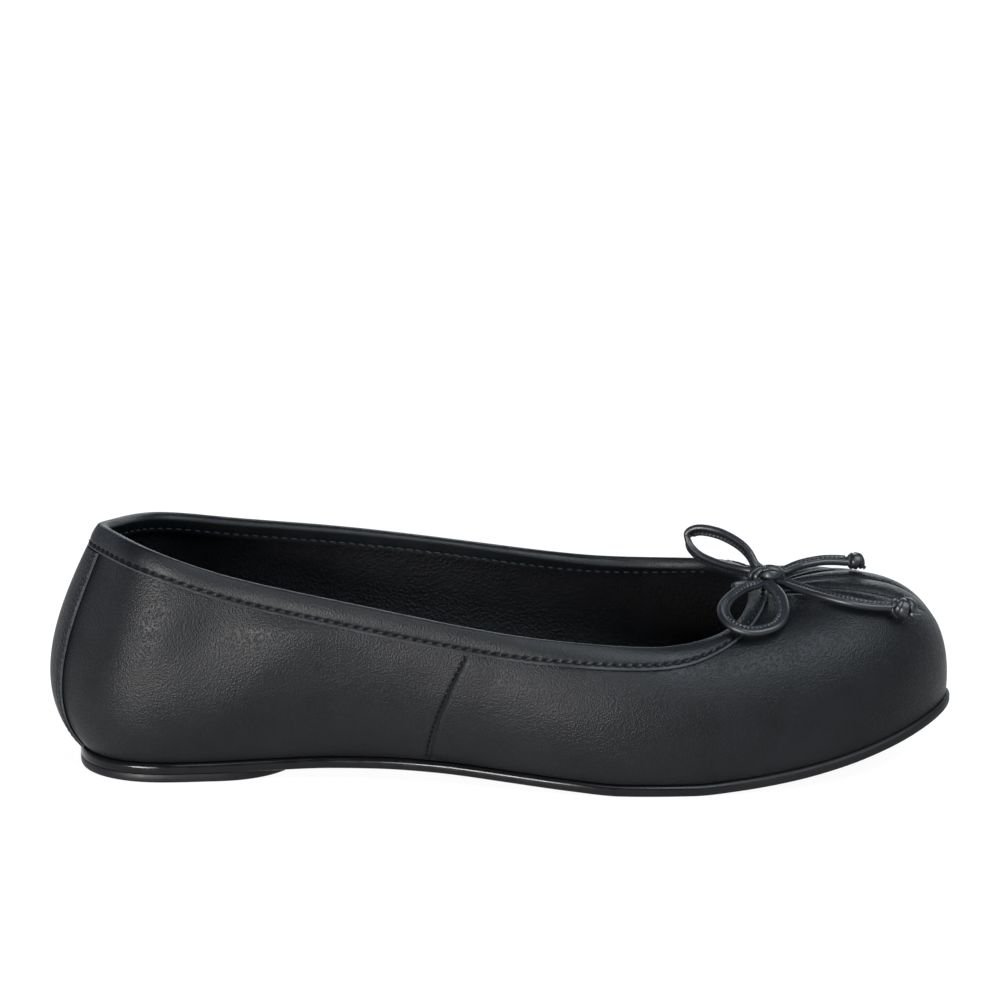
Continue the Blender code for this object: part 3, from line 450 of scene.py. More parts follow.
def across_rows(grid, columns, places):
    """Each row of a grid read off at places of its own between the columns."""
    columns = np.broadcast_to(columns, grid.shape[:2])
    return np.stack([read_off(at, along, row) for at, along, row in zip(places, columns, grid)])


class Wall:
    """The upper's outer surface at chosen places around, measured down from the topline."""

    def __init__(self, places, seams=True):
        self.normals = LAST.normals(places)
        lift = fold_lift(places) + seams * (seam_lift(places) + crease_lift(places))
        self.points = LAST.meridians(places) + self.normals * lift[:, :, None]
        steps = np.linalg.norm(np.diff(self.points, axis=1), axis=2)
        down = np.cumsum(steps[:, ::-1], axis=1)[:, ::-1]
        self.down = np.column_stack([down, np.zeros(len(places))])
        self.length = self.down[:, 0]

    def at(self, down):
        """Points and outward normals for rows of distances below the topline."""
        known = self.down[:, ::-1]
        points, normals = (across_rows(grid[:, ::-1], known, np.asarray(down).T).swapaxes(0, 1)
                           for grid in (self.points, self.normals))
        return points, unit(normals)

    def sheet(self, down, offset):
        down = np.broadcast_to(down, (len(down), len(self.length)))
        points, normals = self.at(down)
        return points + normals * np.broadcast_to(offset, down.shape)[:, :, None]


def binding_depth(edge):
    """How far the binding reaches down outside, where the topline is at edge along the shoe."""
    throat = SECTIONS["toe_tip"][2] * SOLE_LENGTH
    narrow = smooth(0.88 * throat, 0.99 * throat, edge)
    return BINDING_DEPTH_OUTSIDE + (BINDING_DEPTH_THROAT - BINDING_DEPTH_OUTSIDE) * narrow


def sole_sides():
    places = np.linspace(0.0, LAST.perimeter, PLAN_SAMPLES + 1)
    tip = int(np.argmax(LAST.around(places)[:, 0]))
    return places[:tip + 1], places[tip:][::-1]


def paired_places(count):
    """Places around the sole in pairs straight across it, from the back to the toe."""
    turn = np.pi * np.arange(1, count) / count
    pairs = []
    for side in sole_sides():
        along = np.maximum.accumulate(LAST.around(side)[:, 0])
        stations = along[0] + (along[-1] - along[0]) * 0.5 * (1.0 - np.cos(turn))
        pairs.append(np.interp(stations, along, side))
    tip = sole_sides()[0][-1]
    return np.array([0.0, *pairs[0], tip, *pairs[1][::-1]])


# The row's own frame: the outsole's solid shows how far the shoe's back and middle lie from its origin.
EDGE = LAST.sole_edge(paired_places(34))
OUTSOLE_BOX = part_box("outsole")
OFFSET = np.array([OUTSOLE_BOX[0][0] - EDGE[:, 0].min(), OUTSOLE_BOX[0][1] - EDGE[:, 1].min(), 0.0])


def piece(name, vertices, faces, materials, node=None, sharp=50.0, slots=None):
    """A smooth-shaded mesh in the row's frame, riding on the shoe."""
    mesh = bpy.data.meshes.new(name)
    mesh.from_pydata((np.asarray(vertices) + OFFSET).tolist(), [], faces)
    mesh.validate()
    for material in materials:
        mesh.materials.append(material)
    if slots is not None:
        mesh.polygons.foreach_set("material_index", np.asarray(slots, dtype=np.int32))
    mesh.shade_smooth()
    mesh.set_sharp_from_angle(angle=math.radians(sharp))
    made = bpy.data.objects.new(name, mesh)
    bpy.context.scene.collection.objects.link(made)
    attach(made, "root")
    if node:
        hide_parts(node)
    return made


def grid_faces(rows, columns, closed_rows=False, closed_columns=True, flip=False):
    r = np.arange(rows if closed_rows else rows - 1)[:, None]
    c = np.arange(columns if closed_columns else columns - 1)[None, :]
    low = r * columns
    high = ((r + 1) % rows) * columns
    on = (c + 1) % columns
    quads = np.stack([low + c, low + on, high + on, high + c], axis=-1).reshape(-1, 4)
    return (quads[:, ::-1] if flip else quads).tolist()


# Camera
CAMERA_PLACE = np.array([0.1158, -1.1488, 0.3748])
CAMERA_DOWN = 14.74
LENS = 156.8


def add_camera():
    data = bpy.data.cameras.new("camera")
    data.sensor_width = 36.0
    data.lens = LENS
    data.clip_start, data.clip_end = 0.05, 60.0
    camera = bpy.data.objects.new("camera", data)
    camera.location = CAMERA_PLACE + OFFSET
    camera.rotation_euler = (math.radians(90.0 - CAMERA_DOWN), 0.0, 0.0)
    bpy.context.scene.collection.objects.link(camera)
    bpy.context.scene.camera = camera


# Materials
class Nodes:
    """Short hands for a material's nodes."""

    def __init__(self, name):
        self.material = bpy.data.materials.new(name)
        self.material.use_nodes = True
        self.tree = self.material.node_tree
        self.shader = self.tree.nodes["Principled BSDF"]
        self.place = self.new("TexCoord").outputs["Object"]
        split = self.new("SeparateXYZ")
        self.link(self.place, split.inputs["Vector"])
        self.along = split.outputs["X"]

    def link(self, source, target):
        self.tree.links.new(source, target)

    def set(self, node, **values):
        for key, value in values.items():
            node.inputs[key.replace("_", " ")].default_value = value
        return node

    def new(self, kind, **values):
        return self.set(self.tree.nodes.new("ShaderNode" + kind), **values)

    def noise(self, scale, detail=2.0, roughness=0.5):
        node = self.new("TexNoise", Scale=scale, Detail=detail, Roughness=roughness)
        self.link(self.place, node.inputs["Vector"])
        return node.outputs["Fac"]

    def cells(self, scale):
        node = self.new("TexVoronoi", Scale=scale)
        self.link(self.place, node.inputs["Vector"])
        return node.outputs["Distance"]

    def spread(self, source, low, high, new_low, new_high):
        node = self.new("MapRange", From_Min=low, From_Max=high, To_Min=new_low, To_Max=new_high)
        self.link(source, node.inputs["Value"])
        return node.outputs["Result"]

    def add(self, first, second, share=1.0):
        """First times share, plus second."""
        node = self.new("Math")
        node.operation = "MULTIPLY_ADD"
        self.link(first, node.inputs[0])
        node.inputs[1].default_value = share
        self.link(second, node.inputs[2])
        return node.outputs["Value"]

    def colours(self, source, first, second):
        node = self.new("Mix")
        node.data_type = "RGBA"
        sockets = [s for s in node.inputs if s.name in ("A", "B") and s.type == "RGBA"]
        for socket, colour in zip(sockets, (first, second)):
            socket.default_value = (*colour, 1.0)
        self.link(source, node.inputs["Factor"])
        return [s for s in node.outputs if s.type == "RGBA"][0]

    def bump(self, height, distance, strength=1.0, below=None):
        node = self.new("Bump", Distance=distance, Strength=strength)
        self.link(height, node.inputs["Height"])
        if below is not None:
            self.link(below, node.inputs["Normal"])
        return node.outputs["Normal"]


# How much rougher the sole is along the shoe: from, to, and roughness added at both.
SOLE_SHEEN = (42 * MM, 76 * MM, -0.04, 0.32)


def leather(name, dark, light, roughness, specular, grain, depth):
    """Pebbled leather: rounded grain with rough creases between, over mottled colour and gloss."""
    n = Nodes(name)
    warp = n.spread(n.noise(0.6 * grain), 0.0, 1.0, 0.0, 0.12)
    height = n.add(n.spread(n.cells(grain), 0.05, 0.65, 1.0, 0.0), warp, 0.8)
    soft = n.bump(n.noise(150.0, detail=3.0), 0.15 * MM, 0.6)
    n.link(n.bump(height, depth * MM, below=soft), n.shader.inputs["Normal"])
    mottle = n.spread(n.noise(75.0, detail=4.0, roughness=0.6), 0.35, 0.65, 0.0, 1.0)
    n.link(n.colours(mottle, dark, light), n.shader.inputs["Base Color"])
    gloss = n.spread(n.noise(120.0, detail=4.0, roughness=0.65), 0.3, 0.7, roughness - 0.04, roughness + 0.05)
    creases = n.spread(height, 0.28, 0.78, 0.12, -0.04)
    n.link(n.add(gloss, creases), n.shader.inputs["Roughness"])
    n.set(n.shader, Specular_IOR_Level=specular)
    return n.material


def rubber(name, dark, light, roughness):
    """Moulded rubber: a faint fine texture and a few rubbed places."""
    n = Nodes(name)
    height = n.noise(1800.0, detail=3.0)
    n.link(n.bump(height, 0.015 * MM, 0.8), n.shader.inputs["Normal"])
    n.link(n.colours(n.noise(60.0, detail=5.0), dark, light), n.shader.inputs["Base Color"])
    gloss = n.spread(n.noise(240.0, detail=4.0), 0.3, 0.7, roughness - 0.05, roughness + 0.07)
    n.link(n.add(gloss, n.spread(n.along, *SOLE_SHEEN)), n.shader.inputs["Roughness"])
    n.set(n.shader, Specular_IOR_Level=0.16)
    return n.material


def thread(name, dark, light):
    """Twisted sewing thread."""
    n = Nodes(name)
    twist = n.noise(5200.0, detail=1.0)
    n.link(n.bump(twist, 0.05 * MM), n.shader.inputs["Normal"])
    n.link(n.colours(twist, dark, light), n.shader.inputs["Base Color"])
    n.link(n.spread(twist, 0.3, 0.7, 0.7, 0.9), n.shader.inputs["Roughness"])
    n.set(n.shader, Specular_IOR_Level=0.1)
    return n.material


# Dark and light colour, roughness, specular level, grains in a metre and their depth in mm.
LEATHER = leather("leather", (0.0014, 0.0016, 0.0021), (0.0027, 0.0030, 0.0039), 0.35, 0.155, 1900.0, 0.12)
BINDING = leather("binding", (0.0014, 0.0017, 0.0023), (0.0028, 0.0033, 0.0042), 0.35, 0.16, 1900.0, 0.07)
# Edges of the binding and the backstay: a lighter colour that paints the highlight of light catching them.
BINDING_EDGE_PAINTED_HIGHLIGHT = leather("binding_edge_painted_highlight", (0.008, 0.010, 0.012), (0.024, 0.028, 0.034), 0.50, 0.25, 900.0, 0.08)
LINING = leather("lining", (0.0012, 0.0013, 0.0017), (0.0028, 0.0029, 0.0037), 0.50, 0.15, 1250.0, 0.20)
LACE = leather("lace", (0.0030, 0.0034, 0.0044), (0.0065, 0.0074, 0.0092), 0.30, 0.34, 1900.0, 0.02)
RUBBER = rubber("rubber", (0.0016, 0.0016, 0.0019), (0.0034, 0.0034, 0.0040), 0.24)
LIFT_RUBBER = rubber("lift_rubber", (0.0014, 0.0015, 0.0020), (0.0030, 0.0031, 0.0040), 0.50)
# A shaded copy of the thread: black thread made darker than the leather, so its dashes paint the shade in the
# stitch holes.
THREAD_BLACK_PAINTED_SHADE = thread("thread_black_painted_shade", (0.0004, 0.0004, 0.0005), (0.0012, 0.0012, 0.0014))
# A lit copy of the same black thread: its lighter colour is a painted highlight of light catching the thread.
THREAD_PAINTED_HIGHLIGHT = thread("thread_painted_highlight", (0.007, 0.008, 0.010), (0.020, 0.023, 0.027))


# The bow
def run_of(points):
    """How far along a polyline each of its points lies."""
    return np.concatenate([[0.0], np.cumsum(np.linalg.norm(np.diff(points, axis=0), axis=1))])


def even(points, step):
    """Points at even steps along a polyline."""
    along = run_of(points)
    return read_off(np.linspace(0.0, along[-1], max(4, round(along[-1] / step)) + 1), along, points)


def smooth_route(points, step):
    """A Catmull-Rom curve through a route's points, read off at even steps."""
    points = np.array(points, float)
    padded = np.concatenate([[2 * points[0] - points[1]], points, [2 * points[-1] - points[-2]]])
    dense = []
    for a, b, c, d in zip(padded, padded[1:], padded[2:], padded[3:]):
        for t in np.linspace(0.0, 1.0, 16, endpoint=False):
            cube = (-a + 3 * b - 3 * c + d) * t ** 3 + (2 * a - 5 * b + 4 * c - d) * t ** 2
            dense.append(0.5 * (cube + (c - a) * t + 2 * b))
    return even(np.array([*dense, points[-1]]), step)


def bow_seat():
    wall = Wall([LAST.place["toe_tip"]])
    high = FIT + BINDING_THICKNESS + FIT + 0.5 * (1.0 + KNOT_SWELL) * BOW_KNOT_SIZE[2]
    point, normal = wall.at([[BOW_SEAT_SHARE * BINDING_DEPTH_THROAT]])
    return (point + high * normal)[0, 0], normal[0, 0]


SEAT, SEAT_NORMAL = bow_seat()


def lace_section():
    """Section of the lace, across and through it: a round folded edge, a dip, then a thin flange."""
    fold = 0.5 * LACE_FOLD_THICKNESS
    flange = 0.5 * LACE_FLANGE_THICKNESS
    edge = 0.5 * LACE_WIDTH
    middle = edge - fold
    top = [(middle + fold * math.cos(a), fold * math.sin(a)) for a in np.radians(np.arange(0.0, 131.0, 13.0))]
    top += [(across, flange) for across in np.linspace(middle - 1.05 * fold, 0.25 * flange - edge, 8)]
    top += [(0.08 * flange - edge, 0.75 * flange), (-edge, 0.3 * flange)]
    low = [(across, -through) for across, through in reversed(top[1:])]
    return np.array(top + low)


def tube_faces(count, sides, first=0, flip=False):
    """Faces of a row of rings with both ends closed."""
    faces = [[first + v for v in face] for face in grid_faces(count, sides, flip=flip)]
    start = [first + v for v in range(sides)]
    end = [v + (count - 1) * sides for v in start]
    return faces + ([start, end[::-1]] if flip else [start[::-1], end])


def lace_mesh(name, centre, broad, scale=1.0, node=None):
    """A folded lace swept along its centre line, its flange dented by stitches on both faces."""
    tangent = unit(np.gradient(centre, axis=0))
    broad = unit(broad - np.sum(broad * tangent, axis=1, keepdims=True) * tangent)
    flat = np.cross(tangent, broad)
    across, through = lace_section().T
    hole = (0.5 + 0.5 * np.cos(2.0 * np.pi * run_of(centre) / LACE_STITCH))[:, None] ** 2
    sink = (0.10 * MM + 0.34 * MM * hole) * bell(across + 0.55 * MM, 0.55 * MM)[None, :]
    through = through[None, :] - np.sign(through)[None, :] * sink
    scale = np.broadcast_to(scale, (len(centre),))[:, None, None]
    ring = across[None, :, None] * broad[:, None] + through[:, :, None] * flat[:, None]
    rings = centre[:, None] + scale * ring
    faces = tube_faces(len(centre), len(across), flip=True)
    return piece(name, rings.reshape(-1, 3), faces, [LACE], node=node, sharp=60.0)


def facing(centre, face):
    """Width directions that lay a lace flat, with its face looking one way."""
    return unit(np.cross(np.gradient(centre, axis=0), np.array(face)))


def turning(count, first, last):
    share = smooth(0.1, 0.9, np.linspace(0.0, 1.0, count))[:, None]
    return unit(np.array(first) * (1.0 - share) + np.array(last) * share)


def turns(name, middle, strands, node):
    """The turns of a pulled knot, each one a strand with a soft fold along it."""
    vertices, faces = [], []
    sides = 20
    a = 2.0 * np.pi * np.arange(sides) / sides
    for rows, width, thickness, start, end in strands:
        local = smooth_route(np.array(rows) * MM, 0.2 * MM)
        centre = middle + local @ PICTURE
        outward = unit(local * [1.0, 1.0, 1.4] + [0.0, 0.0, 1.2 * MM]) @ PICTURE
        tangent = unit(np.gradient(centre, axis=0))
        broad = unit(np.cross(tangent, outward))
        flat = np.cross(broad, tangent)
        share = np.linspace(0.0, 1.0, len(centre))
        scale = start + (1.0 - start) * smooth(0.0, 0.4, share) + (end - 1.0) * smooth(0.6, 1.0, share)
        across = 0.5 * width * MM * np.sign(np.cos(a)) * np.abs(np.cos(a)) ** 0.8
        through = 0.5 * thickness * MM * np.sign(np.sin(a)) * np.abs(np.sin(a)) ** 0.8
        fold = bell(across + 0.12 * width * MM, 0.10 * width * MM)
        through = through - 0.10 * MM * fold * np.sign(np.sin(a))
        ring = across[None, :, None] * broad[:, None] + through[None, :, None] * flat[:, None]
        faces += tube_faces(len(centre), sides, len(vertices))
        vertices.extend((centre[:, None] + scale[:, None, None] * ring).reshape(-1, 3))
    return piece(name, vertices, faces, [LACE], node=node, sharp=60.0)


def add_loops():
    """Both loops start and end inside the bow's knot."""
    for side_name, route in (("lateral", LOOP_LATERAL_ROUTE), ("medial", LOOP_MEDIAL_ROUTE)):
        route = np.array(route) * MM
        centre = SEAT + smooth_route([0.55 * route[0], *route, 0.55 * route[-1]], LACE_FACET)
        if side_name == "lateral":
            broad = facing(centre, LOOP_LATERAL_FACE)
        else:
            broad = turning(len(centre), LOOP_MEDIAL_WIDTH_START, LOOP_MEDIAL_WIDTH_END)
        loop = lace_mesh("lace_loop_" + side_name, centre, broad, node="bow_loop_" + side_name)


def add_tail(side_name, route, face, knot_size, strands):
    """A tail from the bow's knot, wound up inside its own end knot."""
    route = np.array(route) * MM
    axis = unit(route[-1] - route[-2])
    up = unit(Z_AXIS - axis[2] * axis)
    side = np.cross(axis, up)
    share = np.linspace(0.0, 1.0, 25)[1:]
    angle = 2.0 * np.pi * share
    radius = 0.20 * knot_size[2] * smooth(0.0, 0.3, share)
    wound = route[-1] + np.outer(FIT + 0.85 * knot_size[0] * share, axis)
    wound = wound + np.outer(radius * np.sin(angle), up) + np.outer(radius * (np.cos(angle) - 1.0), side)
    points = [0.15 * route[0], *route, *wound]
    centre = SEAT + smooth_route(points, LACE_FACET)
    run = len(smooth_route(points[:len(route) + 1], LACE_FACET)) / len(centre)
    along = np.linspace(0.0, 1.0, len(centre))
    scale = 1.0 - 0.5 * smooth(run, run + 0.08, along)
    tail = lace_mesh("lace_tail_" + side_name, centre, facing(centre, face), scale, "bow_tail_" + side_name)
    middle = SEAT + route[-1] + axis * (0.5 * knot_size[0] + FIT)
    knot = turns("tail_turns_" + side_name, middle, strands, "tail_knot_" + side_name)


def add_bow():
    add_loops()
    add_tail("lateral", TAIL_LATERAL_ROUTE, TAIL_LATERAL_FACE, TAIL_KNOT_LATERAL_SIZE, TAIL_TURNS_LATERAL)
    add_tail("medial", TAIL_MEDIAL_ROUTE, TAIL_MEDIAL_FACE, TAIL_KNOT_MEDIAL_SIZE, TAIL_TURNS_MEDIAL)
    turns("bow_turns", SEAT, BOW_TURNS, "bow_knot")
    centre = SEAT + smooth_route(np.array(BIGHT_ROUTE) * MM, LACE_FACET)
    lace_mesh("bow_bight", centre, facing(centre, LOOP_LATERAL_FACE), 0.62)


# Stitches
def stitches(name, points, normals, pitch, length, material, radius, sink, closed=False, phase=0.5):
    """Short round threads at an even pitch along a line, whose ends dive into the leather."""
    if closed:
        points, normals = (np.vstack([rows, rows[:1]]) for rows in (points, normals))
    along = run_of(points)
    count = round(along[-1] / pitch)
    marks = (np.arange(count) + phase) * along[-1] / count
    centres = read_off(marks, along, points)
    runs = unit(read_off(marks + PROBE, along, points) - centres)
    outs = unit(read_off(marks, along, normals))
    stations, sides = 6, 6
    turn = 2.0 * np.pi * np.arange(sides) / sides
    vertices, faces = [], []
    for centre, run, out in zip(centres, runs, outs):
        across = np.cross(run, out)
        faces += tube_faces(stations, sides, len(vertices), flip=True)
        for s in np.linspace(-1.0, 1.0, stations):
            middle = centre + 0.5 * length * s * run + out * (radius * (0.9 - 2.1 * s ** 4) - sink)
            girth = radius * (1.0 - 0.35 * s ** 4)
            vertices.extend(middle + girth * (math.cos(a) * across + math.sin(a) * out) for a in turn)
    return piece(name, vertices, faces, [material], sharp=180.0)


# The upper
def fine_places():
    """Places around the shoe: close together over the pleats and at the side seams."""
    tip = LAST.place["toe_tip"]
    marks = list(np.arange(0.0, LAST.perimeter, PLACE_STEP))
    marks = [m for m in marks if abs(signed_gap(m, tip)) > PLEATS_REACH]
    marks += list(tip + PLEATS_REACH * np.linspace(-1.0, 1.0, 201))
    for name in SEAM_SECTIONS:
        seam = LAST.place[name]
        marks = [m for m in marks if abs(signed_gap(m, seam)) > SEAM_REACH]
        marks += list(seam + np.arange(-SEAM_REACH, SEAM_REACH, FINE_STEP))
    return np.array(sorted(marks))


def add_upper():
    """Leather outside and lining inside, one closed wall."""
    places = fine_places()
    wall = Wall(places)
    inside = Wall(places, seams=False)
    count = len(places)
    edge = wall.at(np.zeros((1, count)))[0][0, :, 0]
    leg = binding_depth(edge)
    top = EDGE_SINK + (leg - EDGE_SINK) * np.linspace(0.0, 1.0, 6)[:, None]
    share = (np.arange(1, WALL_ROWS + 1) / WALL_ROWS)[:, None]
    down = np.vstack([top, leg + (wall.length - leg) * share])
    deep = np.vstack([top, leg + (inside.length - leg) * share])
    outer = wall.sheet(down, 0.0)
    inner = inside.sheet(deep[:-1:5], -UPPER_WALL)
    foot = outer[-1].copy()
    foot[:, :2] -= UPPER_WALL * LAST.outward(places)
    rings = np.concatenate([outer[::-1], inner, foot[None]])
    faces = grid_faces(len(rings), count, closed_rows=True)
    slots = np.repeat([0 if r < len(outer) - 1 else 1 for r in range(len(rings))], count)
    piece("upper_leather", rings.reshape(-1, 3), faces, [LEATHER, LINING], node="upper",
          slots=slots)


def add_binding():
    """Folded tape over the topline, dented by its stitches, with its turned edge outside in a lighter colour
    that paints a highlight.
    """
    places = np.linspace(0.0, LAST.perimeter, 1500, endpoint=False)
    count = len(places)
    wall = Wall(places, seams=False)
    leg = binding_depth(wall.at(np.zeros((1, count)))[0][0, :, 0])
    skin = FIT + BINDING_THICKNESS
    line, normals = wall.at((leg - BINDING_MARGIN)[None])
    along = run_of(np.vstack([line[0], line[0][:1]]))
    pitch = along / along[-1] * round(along[-1] / BINDING_STITCH)
    hole = 0.5 + 0.5 * np.cos(2.0 * np.pi * pitch[:-1])
    outer, inner = [], []
    for share in np.linspace(0.0, 1.0, 26):
        above = (leg - EDGE_SINK - 0.2 * MM) * share ** 1.3
        groove = (0.12 * MM + 0.40 * MM * hole) * bell(above - BINDING_MARGIN, 0.45 * MM)
        lip = 0.35 * MM * (1.0 - smooth(0.0, 0.4 * MM, above))
        lip = lip - 0.07 * MM * hole * bell(above - 0.5 * MM, 0.5 * MM)
        rise = np.clip((above - BINDING_MARGIN) / (leg - BINDING_MARGIN - EDGE_SINK), 0.0, 1.0)
        outer.append((leg - above, skin - groove - lip + 0.26 * MM * np.sin(np.pi * rise)))
    middle = -0.5 * UPPER_WALL
    for angle in np.radians(np.arange(0.0, 91.0, 15.0)):
        down = EDGE_SINK - (EDGE_SINK - 0.02 * MM) * math.sin(angle)
        outer.append((down, middle + (skin - middle) * math.cos(angle)))
        inner.insert(0, (down, middle - (skin - middle) * math.cos(angle)))
    for share in np.linspace(0.06, 1.0, 16):
        down = EDGE_SINK + (BINDING_DEPTH_INSIDE - EDGE_SINK) * share
        above = BINDING_DEPTH_INSIDE - down
        groove = (0.08 * MM + 0.18 * MM * hole) * bell(above - BINDING_MARGIN, 0.38 * MM)
        inner.append((down, groove - UPPER_WALL - skin))
    foot = BINDING_DEPTH_INSIDE + 0.1 * MM
    inner += [(foot, 0.3 * MM - UPPER_WALL - skin), (foot, -UPPER_WALL - FIT),
              (EDGE_SINK - FIT, -UPPER_WALL - FIT)]
    under = [(EDGE_SINK - FIT, FIT), (0.5 * (EDGE_SINK + leg), FIT), (leg, FIT)]
    down, offset = (np.array([np.broadcast_to(row[k], (count,)) for row in outer + inner + under])
                    for k in (0, 1))
    rings = wall.sheet(down, offset)
    faces = grid_faces(len(rings), count, closed_rows=True)
    # The rows at the binding's turned and raw edges take the lighter colour: a painted highlight.
    pale = {0, 1, 2, len(rings) - 1, len(outer) + len(inner) - 4}
    slots = np.repeat([1 if r in pale else 0 for r in range(len(rings))], count)
    piece("binding_tape", rings.reshape(-1, 3), faces, [BINDING, BINDING_EDGE_PAINTED_HIGHLIGHT], node="topline_binding",
          slots=slots)
    surface = line[0] + (skin - 0.46 * MM) * normals[0]
    # The outside stitches use the darker thread: painted shade in the stitch holes.
    stitches("binding_stitches_outside", surface, normals[0], BINDING_STITCH, 1.7 * MM, THREAD_BLACK_PAINTED_SHADE,
             0.36 * MM, 0.0, closed=True, phase=0.0)
    # The inside stitches use the lighter thread: a painted highlight.
    line, normals = wall.at(np.full((1, count), BINDING_DEPTH_INSIDE - BINDING_MARGIN))
    surface = line[0] - (UPPER_WALL + skin - 0.12 * MM) * normals[0]
    stitches("binding_stitches_inside", surface, -normals[0], BINDING_STITCH, 1.9 * MM, THREAD_PAINTED_HIGHLIGHT,
             0.24 * MM, 0.10 * MM, closed=True)


def add_backstay():
    """A strip up the back, wider at the top, with a row of stitches along each edge."""
    half = 0.5 * BACKSTAY_WIDTH
    columns = np.linspace(-half - BACKSTAY_FLARE, half + BACKSTAY_FLARE, 113)
    wall = Wall(columns)
    count, rows = 85, 90
    edge = wall.at(np.zeros((1, len(columns))))[0][0, :, 0]
    leg = binding_depth(edge) + FIT
    share = np.linspace(0.0, 1.0, rows)
    points, normals = wall.at(leg + (wall.length - leg) * share[:, None])
    spread = half + BACKSTAY_FLARE * (1.0 - share) ** 2.5
    turn = np.linspace(-1.0, 1.0, count)
    across = turn * spread[:, None]
    base, out = across_rows(points, columns, across), unit(across_rows(normals, columns, across))
    from_edge = spread[:, None] - np.abs(across)
    groove = 0.16 * MM * bell(from_edge - BACKSTAY_MARGIN, 0.35 * MM)
    rise = FIT + BACKSTAY_THICKNESS - groove - 0.35 * MM * smooth(0.5 * MM, 0.0, from_edge) ** 2
    outer = base + out * rise[:, :, None]
    inner = base + out * FIT
    level = LAST.outward(across[-1])
    for row, lift in ((outer, rise[-1]), (inner, np.full(count, FIT))):
        row[-1] = base[-1]
        row[-1][:, :2] += lift[:, None] * level
    rings = np.concatenate([outer[::-1], inner])
    faces = grid_faces(len(rings), count, closed_rows=True, closed_columns=False)
    slots = [0] * len(faces)
    # The strip's raw side edges take the lighter colour: a painted highlight.
    for column in (0, count - 1):
        for r in range(rows - 1):
            quad = [(rows - 1 - r) * count + column, (rows - 2 - r) * count + column,
                    (rows + 1 + r) * count + column, (rows + r) * count + column]
            faces.append(quad[::-1] if column == 0 else quad)
            slots.append(1)
    piece("backstay_strip", rings.reshape(-1, 3), faces, [LEATHER, BINDING_EDGE_PAINTED_HIGHLIGHT], node="backstay",
          slots=slots)
    for sign, name in ((-1, "medial"), (1, "lateral")):
        places = sign * (spread - BACKSTAY_MARGIN)[2:-3, None]
        ups = unit(across_rows(normals[2:-3], columns, places))[:, 0]
        line = across_rows(points[2:-3], columns, places)[:, 0] + (FIT + BACKSTAY_THICKNESS - 0.12 * MM) * ups
        # The backstay's stitches use the lighter thread: a painted highlight.
        stitches("backstay_stitches_" + name, line, ups, SEAM_STITCH, 1.35 * MM, THREAD_PAINTED_HIGHLIGHT,
                 0.18 * MM, 0.10 * MM)


def add_seam_stitches():
    for name, forwards in SEAM_SECTIONS.items():
        columns = LAST.place[name] + np.arange(-SEAM_REACH, SEAM_REACH, FINE_STEP)
        wall = Wall(columns)
        share = np.linspace(0.14, 0.98, 160)
        points, normals = wall.at(wall.length * share[:, None])
        ahead = SEAM_STITCH_GAP + SEAM_FOOT_PLACE + SEAM_LEAN * (1.0 - share)
        places = (LAST.place[name] + forwards * ahead)[:, None]
        line, ups = (across_rows(grid, columns, places)[:, 0] for grid in (points, normals))
        # The seam stitches use the darker thread: painted shade in the stitch holes.
        stitches(name + "_stitches", line, unit(ups), SEAM_STITCH, 1.3 * MM, THREAD_BLACK_PAINTED_SHADE,
                 0.24 * MM, 0.0)


# The sole
def across_cap(count, first, upwards):
    faces = []
    for i in range(count // 2):
        corners = [i, i + 1, count - i - 1, (count - i) % count]
        corners = [c for k, c in enumerate(corners) if c not in corners[:k]]
        if len(corners) > 2:
            faces.append([first + c for c in (corners if upwards else corners[::-1])])
    return faces


def pad(name, rings, node, material, sharp=50.0):
    count = len(rings[0])
    faces = grid_faces(len(rings), count)
    faces += across_cap(count, 0, upwards=False)
    faces += across_cap(count, (len(rings) - 1) * count, upwards=True)
    return piece(name, np.concatenate(rings), faces, [material], node=node, sharp=sharp)


def outline_at(places, inset, height):
    edge = LAST.sole_edge(places, inset)
    return np.column_stack([edge, underside(edge[:, 0]) + height])


def add_outsole():
    """The sole, with a broad soft shoulder above and a tighter round edge below."""
    places = paired_places(260)
    low, high = SOLE_BEVEL, SOLE_SHOULDER
    rings = []
    for angle in np.radians(np.arange(90.0, -1.0, -18.0)):
        rings.append(outline_at(places, low * (1.0 - math.cos(angle)), low * (1.0 - math.sin(angle))))
    for angle in np.radians(np.arange(0.0, 91.0, 15.0)):
        rise = OUTSOLE_THICKNESS - high * (1.0 - math.sin(angle))
        rings.append(outline_at(places, high * (1.0 - math.cos(angle)), rise))
    pad("outsole_rubber", rings, "outsole", RUBBER)


def lift_share(along):
    ahead = np.clip((along - LIFT_SIDE_END) / (LIFT_FRONT - LIFT_SIDE_END), 0.0, 1.0)
    return (1.0 - ahead ** LIFT_ROUNDNESS) ** (1.0 / LIFT_ROUNDNESS)


def lift_plan(stations):
    turn = np.pi * np.arange(stations + 1) / stations
    along = LIFT_FRONT * 0.5 * (1.0 - np.cos(turn))
    edges = []
    for side in sole_sides():
        edge = LAST.sole_edge(side)
        edges.append(np.interp(along * SOLE_LENGTH, np.maximum.accumulate(edge[:, 0]), edge[:, 1]))
    middle = 0.5 * (edges[0] + edges[1])
    lateral, medial = (middle + (edge - middle) * lift_share(along) for edge in edges)
    across = np.concatenate([lateral, medial[1:-1][::-1]])
    return np.column_stack([np.concatenate([along, along[1:-1][::-1]]) * SOLE_LENGTH, across])


def inset_plan(plan, distance):
    run = unit(np.roll(plan, -1, axis=0) - np.roll(plan, 1, axis=0))
    return plan + distance * np.column_stack([-run[:, 1], run[:, 0]])


